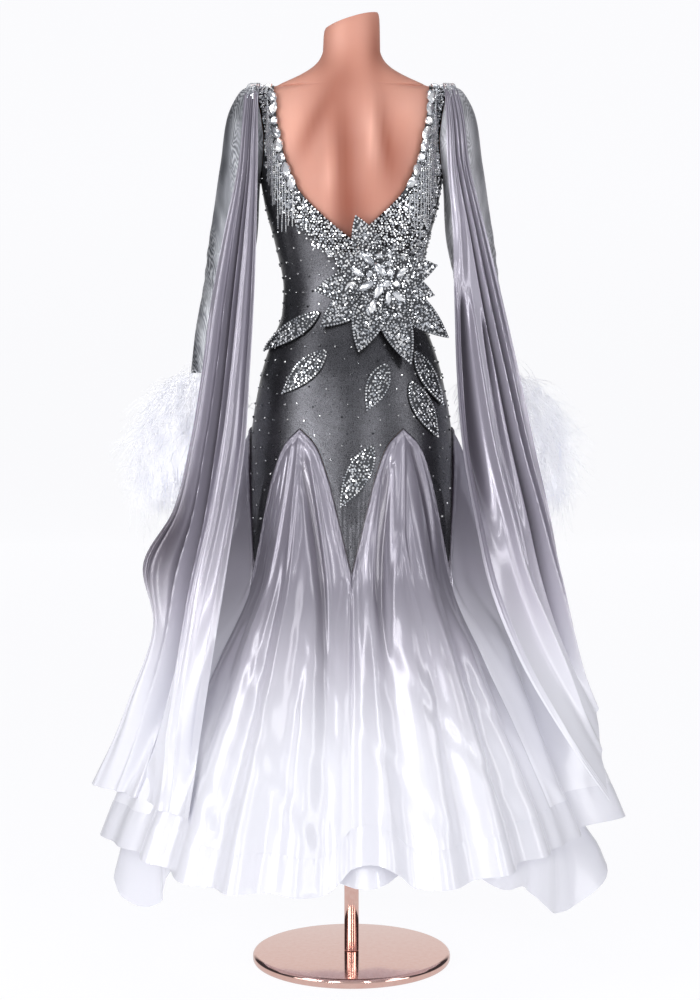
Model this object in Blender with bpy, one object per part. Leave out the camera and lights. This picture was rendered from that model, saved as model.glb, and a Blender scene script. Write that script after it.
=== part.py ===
"""Ballroom dance dress on a limbless dress form, with the stand that carries them.

Metres, +Z up, floor at Z = 0, the stand's pole on the Z axis. The wearer's back faces -Y and is the
decorated side, +X is the wearer's right. Angles round the body start at the middle of the back and grow
towards +X, so 90 degrees is the right side seam and 180 degrees the middle of the front.

The dress is a dark stretch sheath whose lower edge runs in six points, six satin godets between the points,
a stiff hem band, a second skirt layer, mesh sleeves with feather cuffs, two gathered floats from the
shoulders, and stone-covered leaves, petals, neckline stones and bead strands.
"""

import math
from collections import namedtuple

import bmesh
import bpy
from mathutils import Vector

# ---- driving dimensions -------------------------------------------------------------------------------
SEAM_GAP = 0.0003  # between pieces that are sewn or lie together
CLOTH = 0.0015  # wall of the satin and the sheath
MESH_CLOTH = 0.0012  # wall of the sleeves
BASE_RADIUS, BASE_HEIGHT = 0.1625, 0.016
POLE_RADIUS = 0.012
SOCKET_DEPTH = 0.060  # how far the pole goes up into the form
FORM_CLEARANCE = 0.0052  # air between the form and the sheath
FORM_FOOT = 0.790  # underside of the form
NECK_LOW, NECK_HIGH = 1.536, 1.562  # slanted top of the form's neck, left and right
TIP_Z, PEAK_Z = 0.652, 0.880  # the sheath's points, and the godets' peaks between them
GODETS = 6
BACK_V_Z, FRONT_NECK_Z = 1.182, 1.345  # lowest points of the back and front necklines
UNDERARM_Z, SHOULDER_Z = 1.285, 1.4425
BAND_HEIGHT = 0.055  # stiff band at the hem
UNDERSKIRT_TOP, UNDERSKIRT_HEM = 0.50, 0.232

# The dress round the figure, from the shoulder to the hem: half width, and depth of back and front.
Section = namedtuple("Section", "z half_width back front")
FIGURE = (
    Section(1.4445, 0.164, 0.030, 0.032),
    Section(1.4340, 0.166, 0.041, 0.044),
    Section(1.4100, 0.168, 0.058, 0.064),
    Section(1.3700, 0.165, 0.077, 0.084),
    Section(1.3300, 0.157, 0.089, 0.095),
    Section(1.2850, 0.150, 0.095, 0.100),
    Section(1.2400, 0.142, 0.094, 0.102),
    Section(1.1800, 0.126, 0.087, 0.096),
    Section(1.1050, 0.112, 0.080, 0.084),
    Section(1.0700, 0.114, 0.082, 0.083),
    Section(1.0200, 0.132, 0.096, 0.090),
    Section(0.9600, 0.150, 0.114, 0.098),
    Section(0.8800, 0.164, 0.126, 0.106),
    Section(0.8000, 0.172, 0.131, 0.112),
    Section(0.6500, 0.182, 0.142, 0.132),
    Section(0.5600, 0.206, 0.174, 0.170),
    Section(0.4600, 0.242, 0.214, 0.212),
    Section(0.3600, 0.284, 0.258, 0.258),
    Section(0.2700, 0.324, 0.298, 0.300),
    Section(0.2000, 0.350, 0.322, 0.326),
)

# The form's shoulders and neck: half width and depth at each height, and how much the ends thin out.
Shoulder = namedtuple("Shoulder", "z half_width depth thinning")
FORM_SHOULDER = (
    Shoulder(1.4280, 0.1560, 0.043, 1.2), Shoulder(1.4340, 0.1530, 0.043, 1.7), Shoulder(1.4385, 0.1510, 0.042, 3.4),
    Shoulder(1.4401, 0.1490, 0.042, 4.6), Shoulder(1.4406, 0.1265, 0.043, 2.2), Shoulder(1.4460, 0.1140, 0.045, 1.3),
    Shoulder(1.4520, 0.0985, 0.046, 1.0),
    Shoulder(1.4600, 0.0800, 0.046, 1.0), Shoulder(1.4713, 0.0600, 0.045, 1.0), Shoulder(1.4845, 0.0495, 0.043, 1.0),
    Shoulder(1.4980, 0.0430, 0.042, 1.0),
)

# Half of a godet's arch, from the sheath's point (0) to the peak (1): share of the angle, share of the height.
Arch = namedtuple("Arch", "share height")
GODET_ARCH = (Arch(0.0, 0.0), Arch(0.22, 0.37), Arch(0.40, 0.64), Arch(0.66, 0.88), Arch(1.0, 1.0))
ARCH_SPLITS = (2, 2, 2, 3)  # columns of a godet in each straight of its arch

# How far a godet swells between its two seams, by the drop below its top edge.
Swell = namedtuple("Swell", "drop out")
GODET_SWELL = (Swell(0.0, 0.0), Swell(0.08, 0.008), Swell(0.16, 0.020), Swell(0.24, 0.031),
               Swell(0.34, 0.037), Swell(0.46, 0.040), Swell(0.70, 0.044))
# How much further the two godets at the wearer's sides swell.
SIDE_SWELL = (Swell(0.0, 0.0), Swell(0.04, 0.012), Swell(0.08, 0.015), Swell(0.14, 0.019),
              Swell(0.22, 0.019), Swell(0.32, 0.012), Swell(0.45, 0.0), Swell(0.70, 0.0))

# Folds of the skirt: middle, half width on each side, and height at the hem.
Fold = namedtuple("Fold", "degrees spread height")
SKIRT_FOLDS = (
    Fold(8, 7, 0.026), Fold(21, 7, 0.016), Fold(35, 8, 0.030), Fold(50, 7, 0.020),
    Fold(67, 7, 0.016), Fold(85, 13, 0.072), Fold(108, 9, 0.028), Fold(129, 8, 0.024),
    Fold(144, 7, 0.028), Fold(158, 6.5, 0.020), Fold(172, 7, 0.026), Fold(188, 7, 0.022),
    Fold(202, 6.5, 0.028), Fold(216, 7, 0.022), Fold(231, 8, 0.028), Fold(252, 9, 0.024),
    Fold(283, 15, 0.042), Fold(306, 7, 0.024), Fold(320, 8, 0.018),
    Fold(334, 6, 0.024), Fold(347, 6, 0.016), Fold(356.5, 3.5, 0.010),
)
FOLD_START, FOLD_FULL = 0.05, 0.50  # drop below the seam where a fold starts, and where it is full

# Height of the top skirt's hem round the dress: it sweeps up over the right-hand fold, and dips beside the middle.
Level = namedtuple("Level", "degrees z")
HEM_LEVELS = (
    Level(0, 0.228), Level(6, 0.238), Level(11, 0.224), Level(15, 0.203), Level(23, 0.205), Level(31, 0.216),
    Level(40, 0.222), Level(52, 0.228), Level(68, 0.236), Level(84, 0.246), Level(96, 0.240), Level(110, 0.222),
    Level(130, 0.206),
    Level(150, 0.216), Level(170, 0.206), Level(190, 0.216), Level(210, 0.206), Level(232, 0.216), Level(256, 0.208),
    Level(282, 0.226), Level(300, 0.222), Level(312, 0.210), Level(326, 0.198), Level(342, 0.197), Level(352, 0.190),
    Level(360, 0.228),
)

# How far the second skirt layer drops below its hem, and swings out, where it shows beside the top skirt.
Drop = namedtuple("Drop", "degrees spread drop swing")
UNDERSKIRT_DROPS = (Drop(70, 18, 0.125, 0.0), Drop(42, 10, 0.045, 0.0), Drop(82, 9, 0.0, 0.075),
                    Drop(290, 15, 0.115, 0.0), Drop(281, 8, 0.0, 0.048), Drop(3, 12, 0.036, 0.0),
                    Drop(363, 12, 0.036, 0.0))

# Neckline at the back and front, and the armhole: distance from the middle at each height.
Edge = namedtuple("Edge", "z x")
BACK_NECK = (Edge(1.182, 0.000), Edge(1.210, 0.034), Edge(1.238, 0.064), Edge(1.262, 0.085),
             Edge(1.310, 0.106), Edge(1.343, 0.115), Edge(1.390, 0.123), Edge(1.4425, 0.128))
FRONT_NECK = (Edge(1.345, 0.000), Edge(1.350, 0.045), Edge(1.365, 0.082), Edge(1.390, 0.106),
              Edge(1.415, 0.120), Edge(1.4425, 0.128))
ARMHOLE = (Edge(1.285, 0.150), Edge(1.310, 0.1455), Edge(1.345, 0.143), Edge(1.385, 0.147),
           Edge(1.415, 0.153), Edge(1.4425, 0.157))
SHOULDER_ROLL_Z = 1.428  # above this the panels turn over the shoulder to meet at its seam

# Sleeve rings, each by its point next to the body, its outer point, and its half depth and middle in Y.
Ring = namedtuple("Ring", "inner_x inner_z outer_x outer_z half_depth y")
SLEEVE_RINGS = (
    Ring(0.1515, 1.268, 0.180, 1.4350, 0.047, 0.000),
    Ring(0.1525, 1.250, 0.1965, 1.4120, 0.043, 0.000),
    Ring(0.1550, 1.195, 0.2165, 1.3100, 0.038, 0.000),
    Ring(0.1610, 1.160, 0.2290, 1.2250, 0.036, 0.000),
    Ring(0.1870, 1.050, 0.2520, 1.0700, 0.032, 0.006),
    Ring(0.2010, 0.990, 0.2630, 1.0000, 0.029, 0.011),
    Ring(0.2140, 0.930, 0.2700, 0.9300, 0.027, 0.016),
)

# Feather cuff: outer reach away from the body and towards it, and to the back and front, at each height.
Cuff = namedtuple("Cuff", "z out body back front hole")
FEATHER_CUFF = (
    Cuff(0.972, 0.037, 0.037, 0.036, 0.036, 0.0325),
    Cuff(0.955, 0.066, 0.060, 0.056, 0.066, 0.0308),
    Cuff(0.925, 0.092, 0.076, 0.064, 0.090, 0.0310),
    Cuff(0.885, 0.107, 0.074, 0.066, 0.105, 0.0330),
    Cuff(0.840, 0.112, 0.064, 0.066, 0.110, 0.0380),
    Cuff(0.795, 0.108, 0.054, 0.062, 0.104, 0.0400),
    Cuff(0.755, 0.092, 0.048, 0.054, 0.088, 0.0400),
    Cuff(0.735, 0.072, 0.044, 0.048, 0.070, 0.0400),
)
CUFF_X, CUFF_Y, CUFF_LEAN = 0.2420, 0.0145, 0.15  # its middle at the wrist, and how far it moves out a metre down

# Floats: the inner and the outer edge at each row from the shoulder down, and the depth of the folds.
Hang = namedtuple("Hang", "in_z in_x in_y out_z out_x out_y fold")
RIGHT_FLOAT = (
    Hang(1.4445, 0.150, -0.001, 1.4444, 0.166, -0.001, 0.0000),
    Hang(1.4425, 0.150, -0.018, 1.4420, 0.168, -0.017, 0.0004),
    Hang(1.4260, 0.151, -0.047, 1.4260, 0.173, -0.041, 0.0020),
    Hang(1.3900, 0.152, -0.070, 1.3900, 0.181, -0.056, 0.0035),
    Hang(1.3020, 0.154, -0.082, 1.3020, 0.192, -0.064, 0.0065),
    Hang(1.2000, 0.162, -0.084, 1.2000, 0.217, -0.066, 0.0100),
    Hang(1.0800, 0.164, -0.090, 1.0800, 0.246, -0.068, 0.0140),
    Hang(0.9600, 0.167, -0.108, 0.9600, 0.272, -0.078, 0.0180),
    Hang(0.8500, 0.175, -0.132, 0.8500, 0.293, -0.092, 0.0220),
    Hang(0.7400, 0.196, -0.160, 0.7450, 0.315, -0.104, 0.0260),
    Hang(0.6300, 0.225, -0.184, 0.6600, 0.330, -0.104, 0.0300),
    Hang(0.5200, 0.268, -0.196, 0.5800, 0.345, -0.096, 0.0320),
    Hang(0.4000, 0.338, -0.190, 0.5050, 0.364, -0.080, 0.0300),
    Hang(0.2960, 0.408, -0.160, 0.4380, 0.392, -0.066, 0.0220),
)
LEFT_FLOAT = (
    Hang(1.4445, 0.150, -0.001, 1.4444, 0.166, -0.001, 0.0000),
    Hang(1.4425, 0.150, -0.018, 1.4420, 0.168, -0.017, 0.0004),
    Hang(1.4260, 0.151, -0.047, 1.4260, 0.173, -0.041, 0.0020),
    Hang(1.3900, 0.151, -0.070, 1.3900, 0.176, -0.056, 0.0035),
    Hang(1.3020, 0.151, -0.082, 1.3020, 0.184, -0.064, 0.0065),
    Hang(1.2000, 0.153, -0.084, 1.2000, 0.205, -0.066, 0.0100),
    Hang(1.0800, 0.157, -0.090, 1.0800, 0.227, -0.068, 0.0140),
    Hang(0.9600, 0.163, -0.108, 0.9600, 0.242, -0.078, 0.0180),
    Hang(0.8500, 0.174, -0.132, 0.8500, 0.259, -0.092, 0.0220),
    Hang(0.7400, 0.198, -0.160, 0.7500, 0.282, -0.104, 0.0260),
    Hang(0.6300, 0.219, -0.186, 0.6640, 0.328, -0.098, 0.0300),
    Hang(0.5200, 0.240, -0.214, 0.5700, 0.308, -0.110, 0.0320),
    Hang(0.4000, 0.266, -0.252, 0.4500, 0.350, -0.100, 0.0300),
    Hang(0.2850, 0.292, -0.292, 0.3050, 0.420, -0.070, 0.0220),
)
# Folds across a float, as a share of its width, with each fold's share of the full depth.
Pleat = namedtuple("Pleat", "share depth")
FLOAT_PLEATS = (Pleat(0.04, 0.7), Pleat(0.21, 1.0), Pleat(0.38, 0.7), Pleat(0.54, 1.0),
                Pleat(0.72, 0.8), Pleat(0.90, 1.0))

# Stone-covered leaves on the hips: root and tip as distance from the middle and height, and half width.
Leaf = namedtuple("Leaf", "name root_x root_z tip_x tip_z half_width base lift")
HIP_LEAVES = (
    Leaf("hip_leaf_1", -0.050, 1.066, -0.142, 1.004, 0.0150, 0.0024, 0.004),
    Leaf("hip_leaf_2", -0.040, 1.004, -0.110, 0.934, 0.0175, 0.0009, 0.002),
    Leaf("hip_leaf_3", 0.055, 0.982, 0.024, 0.907, 0.0185, 0.0005, 0.002),
    Leaf("hip_leaf_4", 0.093, 0.954, 0.137, 0.864, 0.0170, 0.0009, 0.002),
    Leaf("hip_leaf_5", 0.101, 1.004, 0.146, 0.915, 0.0140, 0.0009, 0.002),
    Leaf("hip_leaf_6", 0.034, 0.852, -0.018, 0.754, 0.0195, 0.0009, 0.002),
)
# Petals of the flower at the waist: direction in degrees (0 is +X, 90 is up), reach, half width and layer.
Petal = namedtuple("Petal", "name degrees reach half_width layer")
FLOWER_X, FLOWER_Z = 0.045, 1.118
PETALS = (
    Petal("petal_top", 111, 0.108, 0.024, 0), Petal("petal_up_right", 14, 0.096, 0.023, 1),
    Petal("petal_right", -16, 0.092, 0.022, 2), Petal("petal_low_right", -40, 0.146, 0.025, 0),
    Petal("petal_down_right", -70, 0.146, 0.026, 1), Petal("petal_down", -106, 0.122, 0.027, 2),
    Petal("petal_down_left", -141, 0.122, 0.025, 0), Petal("petal_left", 190, 0.106, 0.024, 1),
    Petal("petal_up_left", 152, 0.080, 0.022, 2),
    Petal("inner_petal_1", 66, 0.060, 0.018, 3), Petal("inner_petal_2", 6, 0.062, 0.018, 4),
    Petal("inner_petal_3", -52, 0.066, 0.018, 3), Petal("inner_petal_4", -110, 0.066, 0.018, 4),
    Petal("inner_petal_5", -168, 0.062, 0.018, 3), Petal("inner_petal_6", 125, 0.060, 0.018, 4),
)
PLATE = 0.0024  # thickness of a leaf or petal with its stones
PETAL_ROOT, STEM_RADIUS = 0.0138, 0.0135  # the petals' roots, and the flower's middle between them
LAYER_STEP = 0.0042  # from one layer of petals to the next
NECK_STONES, STONE_WIDTH, STONE_HEIGHT = 8, 0.011, 0.0052
STRANDS = 11  # bead strands on each side
STRAND_RADIUS = 0.0011
# Length of the bead strands along the neckline, from the shoulder down.
Strand = namedtuple("Strand", "share length")
STRAND_LENGTHS = (Strand(0.0, 0.085), Strand(0.35, 0.120), Strand(0.7, 0.105), Strand(1.0, 0.060))

# ---- mesh density --------------------------------------------------------------------------------------
SHEATH_FLARE_ROWS = 3
SKIRT_ROWS = 6
FLOAT_COLUMNS_A_PLEAT = 4
SLEEVE_SIDES = 12
FORM_SIDES = 24
CUFF_SIDES = 14
LEAF_ROWS = 6


# ---- small mathematics ---------------------------------------------------------------------------------
def smooth_table(rows, value, at):
    """Value of a table's column at a height, on a curve that never overshoots the rows. Column 0 is the key."""
    keys = [row[0] for row in rows]
    values = [getattr(row, value) for row in rows]
    if keys[0] > keys[-1]:
        keys, values = keys[::-1], values[::-1]
    if at <= keys[0]:
        return values[0]
    if at >= keys[-1]:
        return values[-1]
    slopes = [(values[i + 1] - values[i]) / (keys[i + 1] - keys[i]) for i in range(len(keys) - 1)]
    i = next(k for k in range(len(slopes)) if at <= keys[k + 1])
    before, after = slopes[max(i - 1, 0)], slopes[min(i + 1, len(slopes) - 1)]
    start = 0.0 if before * slopes[i] <= 0 else 2 * before * slopes[i] / (before + slopes[i])
    end = 0.0 if after * slopes[i] <= 0 else 2 * after * slopes[i] / (after + slopes[i])
    step = keys[i + 1] - keys[i]
    t = (at - keys[i]) / step
    rise = values[i + 1] - values[i]
    return (values[i] + step * start * (t - 2 * t**2 + t**3) + rise * (3 * t**2 - 2 * t**3)
            + step * end * (t**3 - t**2))


def mix(a, b, share):
    return a + (b - a) * share


def soft_step(share):
    share = min(max(share, 0.0), 1.0)
    return share * share * (3 - 2 * share)


# ---- surfaces of the dress -----------------------------------------------------------------------------
def bust(phi, z):
    """Cups of the front, as extra depth."""
    side = math.degrees(abs(math.atan2(math.sin(phi), -math.cos(phi))))
    return 0.020 * math.exp(-(((side - 36) / 20) ** 2) - ((z - 1.238) / 0.042) ** 2)


def figure_point(phi, z, out=0.0, roll=1.0):
    """Point of the sheath's outer face at an angle and height, moved out by a distance."""
    half = smooth_table(FIGURE, "half_width", z)
    facing = -math.cos(phi)
    depth = smooth_table(FIGURE, "back" if facing < 0 else "front", z)
    if facing > 0:
        depth += bust(phi, z)
    normal = Vector((math.sin(phi) / half, facing / depth, 0)).normalized()
    point = Vector((half * math.sin(phi), depth * facing * roll, z))
    return point + normal * out


def seam_height(phi):
    """Height of the zigzag seam between sheath and godets, in straights so that both sides match."""
    share = arch_share(phi)
    for low, high in zip(GODET_ARCH, GODET_ARCH[1:]):
        if share <= high.share + 1e-9:
            part = (share - low.share) / (high.share - low.share)
            return mix(TIP_Z, PEAK_Z, mix(low.height, high.height, part))
    return PEAK_Z


def arch_share(phi):
    """0 at a point of the sheath, 1 at a godet's peak."""
    cell = 2 * math.pi / GODETS
    return abs((phi + cell / 2) % cell - cell / 2) / (cell / 2)


def seam_clearance(phi):
    """Height that parts the two sides of the zigzag seam by the seam gap, more where it is steep."""
    share = arch_share(phi)
    steepest = 0.0
    for low, high in zip(GODET_ARCH, GODET_ARCH[1:]):
        if low.share - 1e-6 <= share <= high.share + 1e-6:
            rise = (high.height - low.height) * (PEAK_Z - TIP_Z)
            steepest = max(steepest, rise / ((high.share - low.share) * math.pi / GODETS * FIGURE[13].half_width))
    return SEAM_GAP * math.hypot(1.0, steepest)


def fold_height(phi):
    degrees = math.degrees(phi) % 360
    height = 0.0
    for fold in SKIRT_FOLDS:
        away = abs((degrees - fold.degrees + 180) % 360 - 180) / fold.spread
        if away < 1:
            height += fold.height * (0.5 + 0.5 * math.cos(math.pi * away))
    return height


def skirt_point(phi, z):
    """Point of the top skirt at an angle and height."""
    drop = max(seam_height(phi) - z, 0.0)
    swell = smooth_table(GODET_SWELL, "out", drop)
    if abs(math.cos(phi)) < 0.5:
        swell += smooth_table(SIDE_SWELL, "out", drop)
    swell *= math.sin(phi * GODETS / 2) ** 2
    fold = fold_height(phi) * soft_step((drop - FOLD_START) / (FOLD_FULL - FOLD_START))
    return figure_point(phi, z, swell + fold)


def hem_height(phi):
    return smooth_table(HEM_LEVELS, "z", math.degrees(phi) % 360)


def edge_angle(table, z):
    """Angle at which an edge of the bodice crosses a height."""
    share = smooth_table(table, "x", z) / smooth_table(FIGURE, "half_width", z)
    return math.asin(min(share, 1.0))


def shoulder_roll(z):
    """Share of its depth that the bodice keeps near the shoulder seam, where back and front meet."""
    share = (z - SHOULDER_ROLL_Z) / (SHOULDER_Z - SHOULDER_ROLL_Z)
    return math.sqrt(max(1.0 - soft_step(share) ** 2, 0.0)) if share > 0 else 1.0


def armhole_point(z, facing, out=0.0):
    """Point of the right armhole's edge: facing is -1 at the back and +1 at the front."""
    phi = edge_angle(ARMHOLE, z)
    phi = phi if facing < 0 else math.pi - phi
    point = figure_point(phi, z, 0.0, shoulder_roll(z))
    return point + Vector((out, 0, 0))


# ---- mesh helpers --------------------------------------------------------------------------------------
def new_object(name, points, faces, material, mirror_x=False):
    """Adds a closed mesh as one object, its faces turned outwards."""
    mesh = bpy.data.meshes.new(name)
    mesh.from_pydata([(-p[0], p[1], p[2]) if mirror_x else tuple(p) for p in points], [], faces)
    shape = bmesh.new()
    shape.from_mesh(mesh)
    bmesh.ops.recalc_face_normals(shape, faces=shape.faces)
    if shape.calc_volume(signed=True) < 0:
        bmesh.ops.reverse_faces(shape, faces=shape.faces)
    shape.to_mesh(mesh)
    shape.free()
    mesh.materials.append(material)
    mesh.shade_smooth()
    mesh.set_sharp_from_angle(angle=math.radians(40))
    thing = bpy.data.objects.new(name, mesh)
    bpy.context.scene.collection.objects.link(thing)
    return thing


def grid_normals(rows, closed):
    """Normal at each point of a grid, from its neighbours along and across."""
    high, wide = len(rows), len(rows[0])
    normals = []
    for i, row in enumerate(rows):
        line = []
        for j in range(wide):
            up, down = rows[max(i - 1, 0)][j], rows[min(i + 1, high - 1)][j]
            left = row[(j - 1) % wide] if closed else row[max(j - 1, 0)]
            right = row[(j + 1) % wide] if closed else row[min(j + 1, wide - 1)]
            line.append((right - left).cross(down - up).normalized())
        normals.append(line)
    return normals


def moved_in(rows, thickness, closed, inside):
    """The grid's other face, on the side of the reference point given for each row."""
    normals = grid_normals(rows, closed)
    middle_row, middle = len(rows) // 2, len(rows[0]) // 2
    towards = inside - rows[middle_row][middle]
    sign = 1 if normals[middle_row][middle].dot(towards) > 0 else -1
    return [[p + n * (sign * thickness) for p, n in zip(row, line)] for row, line in zip(rows, normals)]


def wall(name, rows, thickness, material, closed=False, inside=Vector((0, 0, 0.8)), other=None, mirror_x=False):
    """A cloth wall of even thickness on a grid of points, with its rims closed."""
    back = other or moved_in(rows, thickness, closed, inside)
    high, wide = len(rows), len(rows[0])
    points = [p for row in rows for p in row] + [p for row in back for p in row]
    shift = high * wide

    def at(i, j, layer):
        return layer * shift + i * wide + j % wide

    spans = wide if closed else wide - 1
    faces = []
    for i in range(high - 1):
        for j in range(spans):
            for layer in (0, 1):
                faces.append((at(i, j, layer), at(i, j + 1, layer), at(i + 1, j + 1, layer), at(i + 1, j, layer)))
    for j in range(spans):
        for i in (0, high - 1):
            faces.append((at(i, j, 0), at(i, j + 1, 0), at(i, j + 1, 1), at(i, j, 1)))
    if not closed:
        for i in range(high - 1):
            for j in (0, wide - 1):
                faces.append((at(i, j, 0), at(i + 1, j, 0), at(i + 1, j, 1), at(i, j, 1)))
    return new_object(name, points, faces, material, mirror_x)


def lathe(name, profile, sides, material):
    """A turned solid from a closed profile of (radius, z), which starts and ends on the axis."""
    points = [Vector((0, 0, profile[0][1]))]
    rings = profile[1:-1]
    for radius, z in rings:
        for k in range(sides):
            turn = 2 * math.pi * k / sides
            points.append(Vector((radius * math.cos(turn), radius * math.sin(turn), z)))
    points.append(Vector((0, 0, profile[-1][1])))
    last = len(points) - 1
    faces = [(0, 1 + k, 1 + (k + 1) % sides) for k in range(sides)]
    for i in range(len(rings) - 1):
        a, b = 1 + i * sides, 1 + (i + 1) * sides
        faces += [(a + k, a + (k + 1) % sides, b + (k + 1) % sides, b + k) for k in range(sides)]
    a = 1 + (len(rings) - 1) * sides
    faces += [(last, a + k, a + (k + 1) % sides) for k in range(sides)]
    return new_object(name, points, faces, material)


def leaf_plate(name, place, half_width, material):
    """A pointed leaf. place(along, across, layer) gives its points, layer 0 next to the cloth and 1 on top."""
    stations = [k / LEAF_ROWS for k in range(1, LEAF_ROWS)]
    points, faces = [], []
    for layer in (0, 1):
        points.append(place(0.0, 0.0, layer))
        for along in stations:
            reach = half_width * math.sin(math.pi * along**0.82) ** 0.85
            points += [place(along, across * reach, layer) for across in (-1, 0, 1)]
        points.append(place(1.0, 0.0, layer))
    count = len(points) // 2
    for shift in (0, count):
        first, tip = shift, shift + count - 1
        faces += [(first, shift + 1, shift + 2), (first, shift + 2, shift + 3)]
        for k in range(len(stations) - 1):
            a = shift + 1 + 3 * k
            faces += [(a, a + 3, a + 4, a + 1), (a + 1, a + 4, a + 5, a + 2)]
        a = shift + 1 + 3 * (len(stations) - 1)
        faces += [(a, tip, a + 1), (a + 1, tip, a + 2)]
    for side in (1, 3):
        rim = [0] + [side + 3 * k for k in range(len(stations))] + [count - 1]
        faces += [(a, b, b + count, a + count) for a, b in zip(rim, rim[1:])]
    return new_object(name, points, faces, material)


def paint(name, colour, roughness, metallic=0.0):
    """A plain material in linear colour."""
    material = bpy.data.materials.new(name)
    material.use_nodes = True
    shader = material.node_tree.nodes["Principled BSDF"]
    shader.inputs["Base Color"].default_value = (*colour, 1.0)
    shader.inputs["Roughness"].default_value = roughness
    shader.inputs["Metallic"].default_value = metallic
    return material


# ---- stand and form ------------------------------------------------------------------------------------
def build_stand(metal):
    """A flat disc with a rounded rim, and the pole that stands on it."""
    bevel, steps = 0.0065, 4
    rim = [(BASE_RADIUS - bevel + bevel * math.sin(a), BASE_HEIGHT - bevel + bevel * math.cos(a))
           for a in (math.pi / 2 * k / steps for k in range(steps + 1))]
    foot = [(BASE_RADIUS - 0.002, 0.002), (BASE_RADIUS - 0.006, 0.0)]
    lathe("base_disc", [(0, BASE_HEIGHT)] + rim + foot + [(0, 0)], 36, metal)
    low, high = BASE_HEIGHT + SEAM_GAP, FORM_FOOT + SOCKET_DEPTH - SEAM_GAP
    lathe("pole", [(0, high), (POLE_RADIUS - 0.001, high), (POLE_RADIUS, high - 0.001), (POLE_RADIUS, low),
                   (0, low)], 20, metal)


def back_relief(x, z):
    """Shallow hollow along the spine and the low swell of the shoulder blades, as extra depth."""
    spine = -0.0060 * math.exp(-((x / 0.013) ** 2)) * soft_step((z - 1.00) / 0.1) * soft_step((1.47 - z) / 0.10)
    blades = 0.0045 * math.exp(-(((abs(x) - 0.062) / 0.030) ** 2) - ((z - 1.345) / 0.055) ** 2)
    return spine + blades


def form_ring(z, sides):
    """One level ring of the dress form: inside the sheath up to the shoulder, bare above it."""
    ring = []
    for k in range(sides):
        phi = 2 * math.pi * k / sides
        if z < FORM_SHOULDER[0].z:
            point = figure_point(phi, z, -(CLOTH + FORM_CLEARANCE))
            if math.cos(phi) > 0:
                point.y -= back_relief(point.x, z)
        else:
            half = smooth_table(FORM_SHOULDER, "half_width", z)
            thin = abs(math.cos(phi)) ** (smooth_table(FORM_SHOULDER, "thinning", z) - 1.0)
            depth = smooth_table(FORM_SHOULDER, "depth", z) * thin
            lean = 0.10 * max(z - SHOULDER_Z, 0.0)
            point = Vector((half * math.sin(phi), lean - depth * math.cos(phi), z))
        ring.append(point)
    return ring


def build_form(skin):
    """The whole form: a closed solid with a blind socket for the pole in its flat underside."""
    levels = [FORM_FOOT, 0.87, 0.96, 1.02, 1.06, 1.11, 1.17, 1.225, 1.285, 1.325, 1.365, 1.40, 1.418] + [row.z for row in FORM_SHOULDER]
    rings = [form_ring(z, FORM_SIDES) for z in levels]
    rings[0] = [Vector((p.x * 0.93, p.y * 0.93, FORM_FOOT)) for p in rings[0]]
    slant = (NECK_HIGH - NECK_LOW) / 0.085
    middle = (NECK_HIGH + NECK_LOW) / 2
    for drop, grow in ((0.012, 0.97), (0.002, 0.94), (0.0, 0.83)):
        rings.append([Vector((p.x * grow, p.y * grow, middle - drop + slant * p.x * 0.9))
                      for p in form_ring(FORM_SHOULDER[-1].z, FORM_SIDES)])
    socket = POLE_RADIUS + SEAM_GAP
    for z in (FORM_FOOT, FORM_FOOT + SOCKET_DEPTH):
        rings.insert(0, [Vector((socket * math.sin(2 * math.pi * k / FORM_SIDES),
                                 -socket * math.cos(2 * math.pi * k / FORM_SIDES), z)) for k in range(FORM_SIDES)])
    points = [p for ring in rings for p in ring]
    sides = FORM_SIDES
    faces = [tuple(range(sides)), tuple(range(len(points) - sides, len(points)))]
    for i in range(len(rings) - 1):
        a, b = i * sides, (i + 1) * sides
        faces += [(a + k, a + (k + 1) % sides, b + (k + 1) % sides, b + k) for k in range(sides)]
    new_object("dress_form", points, faces, skin)


# ---- sheath --------------------------------------------------------------------------------------------
def cell_angles(first, cells, shares):
    """Angles over a number of half godets, first being the number of the half godet it starts with."""
    half = math.pi / GODETS
    angles = [first * half]
    for cell in range(first, first + cells):
        steps = shares if cell % 2 == 0 else [1 - s for s in shares[::-1]]
        angles += [(cell + s) * half for s in steps[1:]]
    return angles


def arch_steps(splits):
    """Shares of half a godet at the corners of its arch, with extra columns between the corners."""
    shares = [0.0]
    for low, high, split in zip(GODET_ARCH, GODET_ARCH[1:], splits):
        shares += [mix(low.share, high.share, k / split) for k in range(1, split + 1)]
    return shares


SHEATH_ROWS_BACK = (0.990, 1.045, 1.085, 1.125, 1.182, 1.210, 1.238, 1.262, 1.285, 1.310, 1.345, 1.390, 1.428, 1.4385,
                    1.4425)
SHEATH_ROWS_FRONT = (0.990, 1.045, 1.085, 1.125, 1.180, 1.230, 1.285, 1.310, 1.345, 1.365, 1.390, 1.428, 1.4385, 1.4425)


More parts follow.
